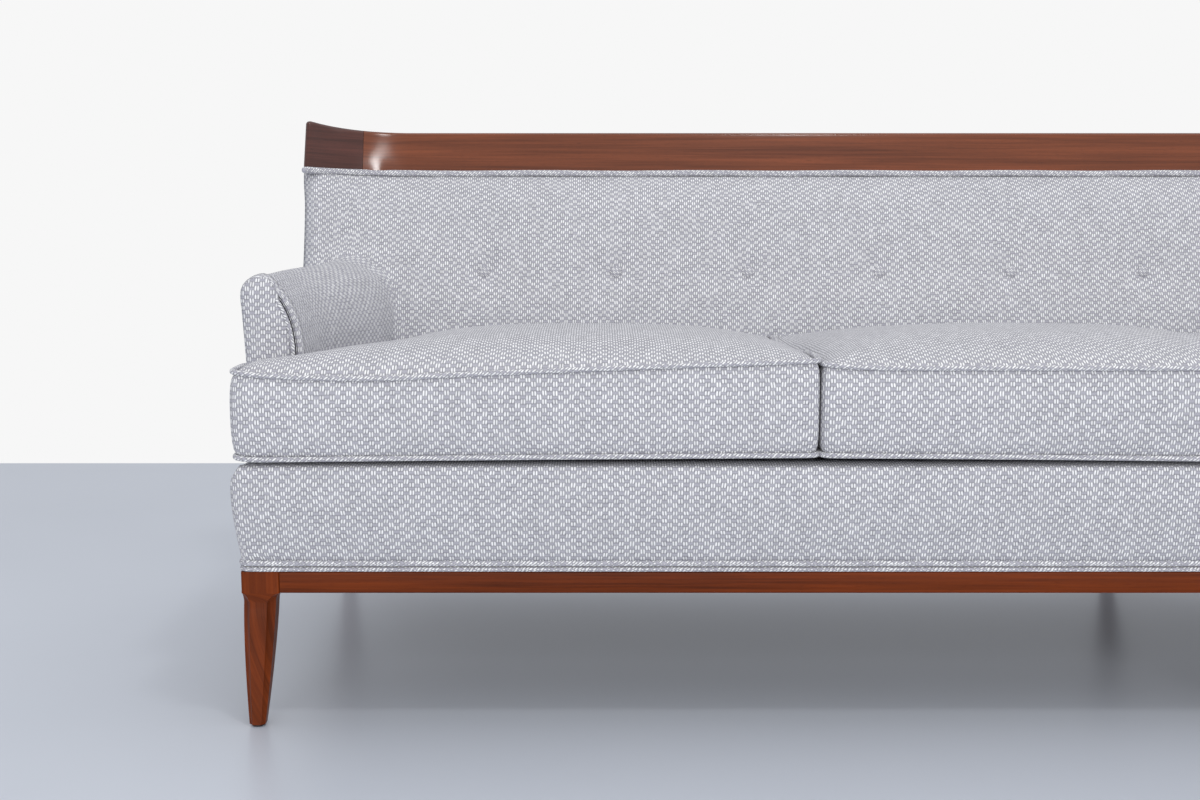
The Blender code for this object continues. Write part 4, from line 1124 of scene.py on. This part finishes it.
def apron(name, start, end, lengthwise, outer, inner):
    """A rail of the base between two blocks, with eased edges, drawn along the front or along a side."""
    section = rounded_box((min(outer, inner), APRON_BOTTOM), (max(outer, inner), APRON_TOP), APRON_EASE, 3)
    rings = []
    for place in np.linspace(start, end, max(int(abs(end - start) / APRON_STEP), 2)):
        across, z = section.T
        rings.append(stack(place, across, z) if lengthwise else stack(across, place, z))
    piece = loft(name + "_wood", rings if lengthwise else rings[::-1], BASE_WOOD, APRON_SHARP)
    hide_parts(name)


def make_base():
    """Six legs, the middle ones behind the aprons, and four aprons between the corner blocks."""
    half = LEG_BLOCK / 2
    side = BASE_HALF - half
    front = BASE_FRONT + half
    rear = BASE_REAR - half
    inset = APRON_THICKNESS + JOINT_GAP / 2
    for row, y, inward, rake in (("front", front, inset, FRONT_RAKE), ("rear", rear, -inset, REAR_RAKE)):
        make_leg(f"{row}_left_leg", (-side, y), (-FOOT_SPLAY, rake))
        make_leg(f"{row}_middle_leg", (0.0, y + inward), (0.0, rake))
        make_leg(f"{row}_right_leg", (side, y), (FOOT_SPLAY, rake))
    reach = side - half - JOINT_GAP
    apron("front_apron", -reach, reach, True, BASE_FRONT, BASE_FRONT + APRON_THICKNESS)
    apron("rear_apron", -reach, reach, True, BASE_REAR - APRON_THICKNESS, BASE_REAR)
    near = front + half + JOINT_GAP
    far = rear - half - JOINT_GAP
    apron("left_apron", near, far, False, -BASE_HALF, -BASE_HALF + APRON_THICKNESS)
    apron("right_apron", near, far, False, BASE_HALF - APRON_THICKNESS, BASE_HALF)


# Loose cushions

CUSHION_BOTTOM = 0.3274
CUSHION_PEAK = 0.4735
CUSHION_CLEARANCE = 0.006
CUSHION_REAR_GAP = 0.014
CUSHION_CELL = 0.0135
CUSHION_DRAW = 0.003
CUSHION_BULGE = 0.005
CUSHION_WIDTH_DEPTH = 0.3
CUSHION_CROWN_POWER = 0.39
CUSHION_ARM_EDGE = 0.06
CUSHION_ARM_FALL = (0.040, 0.185)
CUSHION_ARM_START = (0.11, 0.24)
CUSHION_REAR_FALL = 0.62
CUSHION_REAR_START = 0.30
CUSHION_FLOOR_POWER = 0.6
CUSHION_CORNER_CUT = 0.3
CUSHION_LEAN = (0.5, 1.0)
CUSHION_WELT = 0.0036
CUSHION_WELT_DROPS = (0.0012, -0.0005)
EAR_FULLNESS = 0.002
TOP_SEAM_SHARES = (0.0, 0.05, 0.15, 0.22, 0.30, 0.38, 0.50, 0.60, 0.80, 1.0)
TOP_SEAM_HEIGHTS = (0.4385, 0.4343, 0.4311, 0.4303, 0.4315, 0.4350, 0.4387, 0.4416, 0.4470, 0.4520)
TOP_SEAM_INNER = 0.4430
TOP_SEAM_LIFT = 0.0050
TOP_SEAM_REAR = 0.4300
TOP_SEAM_ARM = 0.4000
TOP_SEAM_ARM_SHARES = (0.0, 0.3)
TOP_SEAM_FALL = (0.1, 0.6)
TOP_SEAM_INNER_FALL = (0.0, 0.45)
LOW_SEAM = 0.3344
LOW_SEAM_REAR = 0.3310
LOW_SEAM_FALL = (0.0, 0.5)
LOW_SEAM_CLIMB = 0.0058
LOW_SEAM_INNER_CLIMB = 0.0055
LOW_SEAM_CURL = 0.0028
LOW_SEAM_CURL_REACH = 0.012
BOXING_LEVELS = 6
NEIGHBOURS = ((0, 1), (0, -1), (1, 1), (1, -1))
RELAX_STEPS = 900
SWELL_FRAMES = 18
SWELL_CAP = 0.007
SWELL_ROOM = (0.004, 0.010, 0.003)
SWELL_DEPTH = 1.0
SWELL_SETTINGS = {"quality": 6, "mass": 0.25, "tension_stiffness": 20.0, "compression_stiffness": 20.0,
                  "shear_stiffness": 8.0, "bending_stiffness": 0.6, "use_pressure": True,
                  "uniform_pressure_force": 3.0, "vertex_group_mass": "held"}


def rear_line(z):
    return raked(z) - CUSHION_REAR_GAP


def top_seam(share, along, outer):
    """Height of the top seam: an outer cushion's sags beside its ear and climbs to the next cushion."""
    if outer:
        front = np.interp(share, TOP_SEAM_SHARES, TOP_SEAM_HEIGHTS)
        rear = lerp(TOP_SEAM_ARM, TOP_SEAM_REAR, smooth_step(*TOP_SEAM_ARM_SHARES, share))
        return lerp(front, rear, smooth_step(*TOP_SEAM_FALL, along))
    front = TOP_SEAM_INNER + TOP_SEAM_LIFT * np.abs(2.0 * share - 1.0) ** 8
    return lerp(front, TOP_SEAM_REAR, smooth_step(*TOP_SEAM_INNER_FALL, along))


def low_seam(share, along, outer):
    """Height of the bottom seam: an outer cushion's curls up at its outer corner."""
    if outer:
        front = LOW_SEAM + LOW_SEAM_CLIMB * share + LOW_SEAM_CURL * np.exp(-share / LOW_SEAM_CURL_REACH)
    else:
        front = LOW_SEAM + LOW_SEAM_INNER_CLIMB * (1.0 - share)
    return lerp(front, LOW_SEAM_REAR, smooth_step(*LOW_SEAM_FALL, along))


def relax(mask, fixed, values, source):
    """Settles a height field over a grid: fixed nodes keep their values, the others even out."""
    field = values.copy()
    free = mask & ~fixed
    weight = sum(np.roll(mask, step, axis).astype(float) for axis, step in NEIGHBOURS)
    for _ in range(RELAX_STEPS):
        total = sum(np.roll(np.where(mask, field, 0.0), step, axis) for axis, step in NEIGHBOURS)
        field[free] = (total / np.maximum(weight, 1.0))[free] + source
    return field


def walk(corners):
    """Nodes of a grid along straight lines from corner to corner and back to the first."""
    nodes = []
    for start, end in zip(corners, corners[1:] + corners[:1]):
        step = np.sign(np.subtract(end, start))
        count = int(np.abs(np.subtract(end, start)).max())
        nodes.extend(tuple(start + k * step) for k in range(count))
    return nodes


class Cushion:
    """A boxed cushion: plan grid, seam heights, top, bottom and boxing."""

    def __init__(self, left, right, ear, mirrored):
        self.ear = ear
        self.plan_grid(left, right)
        self.seam_heights(1.0 - self.share if mirrored else self.share)

    def plan_grid(self, left, right):
        """Places of the plan's nodes. An ear adds columns in front of the arm."""
        columns = round((right(CUSHION_WIDTH_DEPTH) - left(CUSHION_WIDTH_DEPTH)) / CUSHION_CELL)
        self.rear = rear_line((CUSHION_BOTTOM + CUSHION_PEAK) / 2)
        ear_rows = round(EAR_DEPTH / CUSHION_CELL)
        rows = ear_rows + round((self.rear - EAR_DEPTH) / CUSHION_CELL)
        ear_columns = round((EAR_OUTER - ARM_INSIDE) / CUSHION_CELL) if self.ear else 0
        offset = ear_columns if self.ear < 0 else 0
        depth = np.concatenate([np.linspace(0.0, EAR_DEPTH, ear_rows + 1),
                                np.linspace(EAR_DEPTH, self.rear, rows - ear_rows + 1)[1:]])
        inner = offset + columns
        last = ear_columns + columns
        size = (last + 1, rows + 1)
        self.x = np.zeros(size)
        self.y = np.tile(depth, (size[0], 1))
        tip = EAR_OUTER + EAR_FULLNESS
        for i in range(size[0]):
            share = (i - offset) / columns
            self.x[i] = lerp(left(depth), right(depth), share)
            if share < 0.0:
                self.x[i] = lerp(-tip, left(depth), i / ear_columns)
            if share > 1.0:
                self.x[i] = lerp(right(depth), tip, (i - columns) / ear_columns)
        self.share = np.clip((self.x - self.x[0, 0]) / (self.x[-1, 0] - self.x[0, 0]), 0.0, 1.0)
        self.along = self.y / self.rear
        self.y += CUSHION_DRAW * arch(self.share) * (1.0 - self.along) ** 3
        self.mask = np.zeros(size, dtype=bool)
        self.mask[:, :ear_rows + 1] = True
        self.mask[offset:inner + 1] = True
        outline = [(0, 0), (last, 0), (last, ear_rows), (inner, ear_rows), (inner, rows), (offset, rows),
                   (offset, ear_rows), (0, ear_rows)]
        self.edge = tuple(np.transpose(walk(outline)))
        self.fixed = np.zeros(size, dtype=bool)
        self.fixed[self.edge] = True
        self.round_corners()

    def round_corners(self):
        """Cuts the plan's outer corners a little, as a sewn corner does."""
        spots = stack(self.x, self.y)[self.edge]
        before = np.roll(spots, 1, axis=0)
        after = np.roll(spots, -1, axis=0)
        straight = np.sum(unit(spots - before) * unit(after - spots), axis=-1)
        cut = lerp(spots, (before + after) / 2, CUSHION_CORNER_CUT)
        self.x[self.edge], self.y[self.edge] = np.where(straight[:, None] < 0.5, cut, spots).T

    def settled(self, heights):
        """A field with these heights at the edge, evened out inside it."""
        return relax(self.mask, self.fixed, np.where(self.fixed, heights, heights[self.fixed].mean()), 0.0)

    def seam_heights(self, share):
        self.high = self.settled(top_seam(share, self.along, self.ear))
        self.low = self.settled(low_seam(share, self.along, self.ear))
        dome = relax(self.mask, self.fixed, np.zeros_like(self.x), 1.0)
        dome = np.clip(dome / dome.max(), 0.0, 1.0)
        rear_fall = CUSHION_REAR_FALL * smooth_step(CUSHION_REAR_START, 1.0, self.along)
        crown = dome ** CUSHION_CROWN_POWER * (1.0 - rear_fall)
        if self.ear:
            away = arm_inside(self.y) - np.abs(self.x)
            fall = lerp(CUSHION_ARM_EDGE, 1.0, smooth_step(*CUSHION_ARM_FALL, away))
            crown *= lerp(1.0, fall, smooth_step(*CUSHION_ARM_START, self.y))
        self.top = self.high + (CUSHION_PEAK - self.high) * crown
        self.bottom = self.low + (CUSHION_BOTTOM - self.low) * dome ** CUSHION_FLOOR_POWER

    def leaned(self, points, along):
        """Points whose rear leans back with the sofa's back."""
        points[:, 1] += (rear_line(points[:, 2]) - self.rear) * smooth_step(*CUSHION_LEAN, along)
        return points

    def seam(self, heights):
        path = stack(self.x, self.y, heights)[self.edge]
        return self.leaned(path, path[:, 1] / self.rear)

    def build(self):
        """Points, faces, corner UVs, and the points held in the cloth run: the top seam and the bottom."""
        count = int(self.mask.sum())
        index = np.zeros(self.mask.shape, dtype=int)
        index[self.mask] = range(count)
        sheets = [self.leaned(stack(self.x, self.y, heights)[self.mask], self.along[self.mask])
                  for heights in (self.top, self.bottom)]
        points = np.concatenate(sheets)
        faces = []
        corners = []
        whole = self.mask[:-1, :-1] & self.mask[1:, :-1] & self.mask[:-1, 1:] & self.mask[1:, 1:]
        for i, j in zip(*np.nonzero(whole)):
            ring = [(i, j), (i + 1, j), (i + 1, j + 1), (i, j + 1)]
            for first, nodes in ((0, ring), (count, ring[::-1])):
                faces.append([first + int(index[node]) for node in nodes])
                corners.extend((self.x[node], self.y[node]) for node in nodes)
        rim = index[self.edge]
        points = self.add_boxing(points, rim, rim + count, faces, corners)
        return points, faces, corners, rim.tolist() + list(range(count, 2 * count))

    def add_boxing(self, points, top_rim, low_rim, faces, corners):
        """The border strip between the two seams, which bulges most where nothing presses on it."""
        upper = points[top_rim]
        lower = points[low_rim]
        along = unit(np.roll(upper[:, :2], -1, axis=0) - np.roll(upper[:, :2], 1, axis=0))
        outward = stack(along[:, 1], -along[:, 0])
        free = (np.abs(upper[:, 0]) > ARM_INSIDE) * np.abs(outward[:, 0])
        bulge = CUSHION_BULGE * np.maximum(np.clip(-outward[:, 1], 0.0, 1.0), free)
        levels = [low_rim]
        for share in shares(BOXING_LEVELS + 1)[1:-1]:
            spots = lerp(lower, upper, share)
            spots[:, :2] += outward * (bulge * (1.0 - (2.0 * share - 1.0) ** 4))[:, None]
            levels.append(np.arange(len(points), len(points) + len(spots)))
            points = np.concatenate([points, spots])
        levels = np.array(levels + [top_rim])
        around = np.concatenate([levels, levels[:, :1]], axis=1)
        run = lengths(points[around[-1]]) + upper[0, 0]
        strip_faces, strip_corners = grid_faces(levels, stack(run, points[around][..., 2]), closed=True)
        faces.extend(levels.ravel()[face].tolist() for face in strip_faces)
        corners.extend(strip_corners)
        return points


def swell(piece, pinned, low, high):
    """Inflates a cushion's cover with a short cloth run, held at its seams and inside its own room."""
    scene = bpy.context.scene
    rest = np.array([v.co for v in piece.data.vertices])
    group = piece.vertex_groups.new(name="held")
    group.add(pinned, 1.0, "REPLACE")
    cloth = piece.modifiers.new("swell", "CLOTH")
    for setting, value in SWELL_SETTINGS.items():
        setattr(cloth.settings, setting, value)
    cloth.settings.effector_weights.gravity = 0.0
    cloth.collision_settings.use_collision = False
    cloth.point_cache.frame_start = 1
    cloth.point_cache.frame_end = SWELL_FRAMES
    for step in range(1, SWELL_FRAMES + 1):
        scene.frame_set(step)
    swollen = piece.evaluated_get(bpy.context.evaluated_depsgraph_get())
    moved = np.array([v.co for v in swollen.data.vertices]) - rest
    distance = np.linalg.norm(moved, axis=1, keepdims=True)
    moved *= np.minimum(1.0, SWELL_CAP / np.maximum(distance, 1e-9))
    places = np.clip(rest + moved, np.minimum(low, rest), np.maximum(high, rest))
    piece.modifiers.remove(cloth)
    piece.vertex_groups.remove(group)
    piece.data.vertices.foreach_set("co", places.ravel())
    piece.data.update()
    scene.frame_set(1)


def make_cushion(hand, left, right, ear=0, mirrored=False):
    cushion = Cushion(left, right, ear, mirrored)
    points, faces, corners, pinned = cushion.build()
    name = f"{hand}_seat_cushion"
    body = f"{hand}_cushion"
    piece = new_object(name, make_mesh(name, points, faces, corners, FABRIC))
    aside, ahead, above = SWELL_ROOM
    low = (points[:, 0].min() - aside * (ear < 0), ORIGIN_Y - ahead, CUSHION_BOTTOM)
    high = (points[:, 0].max() + aside * (ear > 0), ORIGIN_Y + SWELL_DEPTH, CUSHION_PEAK + above)
    swell(piece, pinned, low, high)
    soften(piece)
    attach(piece, body)
    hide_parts(f"seat_cushion_{hand}")
    for level, heights, drop in zip(("top", "bottom"), (cushion.high, cushion.low), CUSHION_WELT_DROPS):
        path = cushion.seam(heights) + (0.0, 0.0, drop)
        welt(f"{name}_{level}_welt", path, CUSHION_WELT, closed=True, body=body)


def make_cushions():
    """Four cushions in a row. The right pair mirrors the left one."""
    inner = CUSHION_GAP / 2
    near = CUSHION_WIDTH - inner
    far = CUSHION_WIDTH + inner

    def beside_arm(y):
        return arm_inside(y) - CUSHION_CLEARANCE

    make_cushion("left", lambda y: -beside_arm(y), lambda y: -far, ear=-1)
    make_cushion("center_left", lambda y: -near, lambda y: -inner)
    make_cushion("center_right", lambda y: inner, lambda y: near, mirrored=True)
    make_cushion("right", lambda y: far, beside_arm, ear=1, mirrored=True)


# Inside the frame

DUST_CLOTH_GAP = 0.0008
DUST_CLOTH_SAG = 0.003
WEBBING_WIDTH = 0.050
WEBBING_STRAPS = 12
WEBBING_CROSS_STRAPS = 4
WEBBING_THICKNESS = 0.0012
WEBBING_GAP = 0.0001
WEBBING_GIRTH = (0.0, 0.05, 0.051, 0.101, 0.102)
BARE_FRAME = ("seat_front_rail", "seat_rear_rail", "seat_left_rail", "seat_right_rail", "seat_middle_rail",
              "left_arm_frame", "right_arm_frame", "left_wing_frame", "right_wing_frame",
              "back_frame_top_rail", "left_back_post", "middle_back_post", "right_back_post")


def make_dust_cover():
    """Thin cloth tacked under the seat frame, with a slight sag."""
    low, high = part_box("dust_cover")
    across = shares(60)
    along = shares(20)[:, None]
    x = lerp(low.x, high.x, across)
    y = lerp(low.y, high.y, along) - ORIGIN_Y
    sag = DUST_CLOTH_SAG * np.sin(math.pi * across) * np.sin(math.pi * along)
    points = stack(x, y, high.z - DUST_CLOTH_GAP - sag)
    piece = add_piece("dust_cloth", points, *grid_faces(points, stack(x, y), flip=True), LINING, "lining")
    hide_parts("dust_cover")


def strap(path, aside):
    """One flat strap along a path, as a closed thin band."""
    half = np.asarray(aside) * WEBBING_WIDTH / 2
    rise = np.array([0.0, 0.0, WEBBING_THICKNESS / 2 - WEBBING_GAP])
    corners = ((-1.0, -1.0), (1.0, -1.0), (1.0, 1.0), (-1.0, 1.0))
    rings = np.stack([path + across * half + upward * rise for across, upward in corners], axis=1)
    return tube(rings, stack(lengths(path)[:, None], WEBBING_GIRTH))


def woven(run, crossed, number):
    """Heights of a strap that passes over and under the ones it crosses."""
    passed = (run - crossed[0]) / (crossed[1] - crossed[0])
    return WEBBING_THICKNESS / 2 * np.cos(math.pi * (passed + number))


def make_webbing():
    """Interlaced straps over the seat rails."""
    low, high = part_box("seat_webbing")
    front = low.y - ORIGIN_Y
    rear = high.y - ORIGIN_Y
    middle = (low.z + high.z) / 2
    xs = np.linspace(low.x, high.x - WEBBING_WIDTH, WEBBING_STRAPS) + WEBBING_WIDTH / 2
    ys = np.linspace(front, rear - WEBBING_WIDTH, WEBBING_CROSS_STRAPS) + WEBBING_WIDTH / 2
    straps = []
    for number, x in enumerate(xs):
        run = np.linspace(front, rear, 40)
        straps.append(strap(stack(x, run, middle + woven(run, ys, number)), (1.0, 0.0, 0.0)))
    for number, y in enumerate(ys):
        run = np.linspace(low.x, high.x, 110)
        straps.append(strap(stack(run, y, middle - woven(run, xs, number)), (0.0, -1.0, 0.0)))
    points, faces, corners = [], [], []
    for new_points, new_faces, new_corners in straps:
        faces.extend([len(points) + k for k in face] for face in new_faces)
        points.extend(new_points)
        corners.extend(new_corners)
    piece = add_piece("seat_straps", points, faces, corners, WEBBING, "webbing")
    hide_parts("seat_webbing")


def dress_frame():
    """Gives the kept frame pieces their bare wood."""
    for name in BARE_FRAME:
        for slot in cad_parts[name].material_slots:
            slot.material = FRAME_WOOD


# Stage

CAMERA_X = -0.8475
CAMERA_DEPTH = -1.7105
CAMERA_HEIGHT = 0.653
CAMERA_PITCH = math.radians(8.2)
CAMERA_LENS = 43.68
CAMERA_SENSOR = 36.0
FLOOR_HALF = 9.0
FLOOR_FRONT = -7.0
FLOOR_REAR = 1.75
SKY_LIGHT = (0.93, 0.95, 1.0, 1.0)
SKY_STRENGTH = 0.67
WALL_TONE = (0.93, 0.93, 0.93, 1.0)


def make_camera():
    data = bpy.data.cameras.new("photo_camera")
    data.lens = CAMERA_LENS
    data.sensor_width = CAMERA_SENSOR
    camera = new_object("photo_camera", data)
    camera.location = (CAMERA_X, ORIGIN_Y + CAMERA_DEPTH, CAMERA_HEIGHT)
    camera.rotation_euler = (math.pi / 2 - CAMERA_PITCH, 0.0, 0.0)
    bpy.context.scene.camera = camera


def make_floor():
    mesh = bpy.data.meshes.new("floor")
    rear = ORIGIN_Y + FLOOR_REAR
    corners = [(-FLOOR_HALF, FLOOR_FRONT, 0.0), (FLOOR_HALF, FLOOR_FRONT, 0.0), (FLOOR_HALF, rear, 0.0),
               (-FLOOR_HALF, rear, 0.0)]
    mesh.from_pydata(corners, [], [(0, 1, 2, 3)])
    mesh.materials.append(FLOOR)
    new_object("floor", mesh)


def make_world():
    """Even light from all round. The camera sees a plain pale wall in its place."""
    nodes = Nodes(bpy.data.worlds.new("studio"))
    bpy.context.scene.world = nodes.owner
    nodes.tree.nodes.clear()
    to_camera = nodes.node("LightPath").outputs["Is Camera Ray"]
    light = nodes.node("Background", Color=SKY_LIGHT, Strength=SKY_STRENGTH).outputs[0]
    seen = nodes.node("Background", Color=WALL_TONE, Strength=1.0).outputs[0]
    nodes.node("OutputWorld", Surface=nodes.ordered("MixShader", to_camera, light, seen).outputs[0])


def area_light(name, place, target, size, power):
    data = bpy.data.lights.new(name, "AREA")
    data.shape = "RECTANGLE"
    data.size, data.size_y = size
    data.energy = power
    lamp = new_object(name, data)
    lamp.location = place
    x, y, z = np.asarray(target) - np.asarray(place)
    lamp.rotation_euler = (math.atan2(math.hypot(x, y), -z), 0.0, math.atan2(x, -y) + math.pi)


def make_lights():
    area_light("overhead", place=(-0.4, 0.3, 3.0), target=(-0.4, 0.0, 0.4), size=(4.5, 1.8), power=13.0)
    area_light("front_fill", place=(-0.6, -3.4, 1.2), target=(-0.6, 0.0, 0.45), size=(4.5, 2.0), power=56.5)
    area_light("crest_spark", place=(-0.10, -1.31, 3.63), target=(-1.2, 0.27, 0.69), size=(0.34, 0.34),
               power=12.0)


make_camera()
make_back_cover()
make_buttons()
make_outside_back()
for HAND, SIDE in HANDS:
    make_arm_cover(HAND, SIDE)
    make_facing(HAND, SIDE)
    make_outside_arm(HAND, SIDE)
make_front_band()
make_deck_cover()
make_base_welts()
make_crest_welt()
make_crest()
make_base()
make_cushions()
make_dust_cover()
make_webbing()
dress_frame()
make_floor()
make_world()
make_lights()
bpy.context.scene.view_settings.view_transform = "Standard"
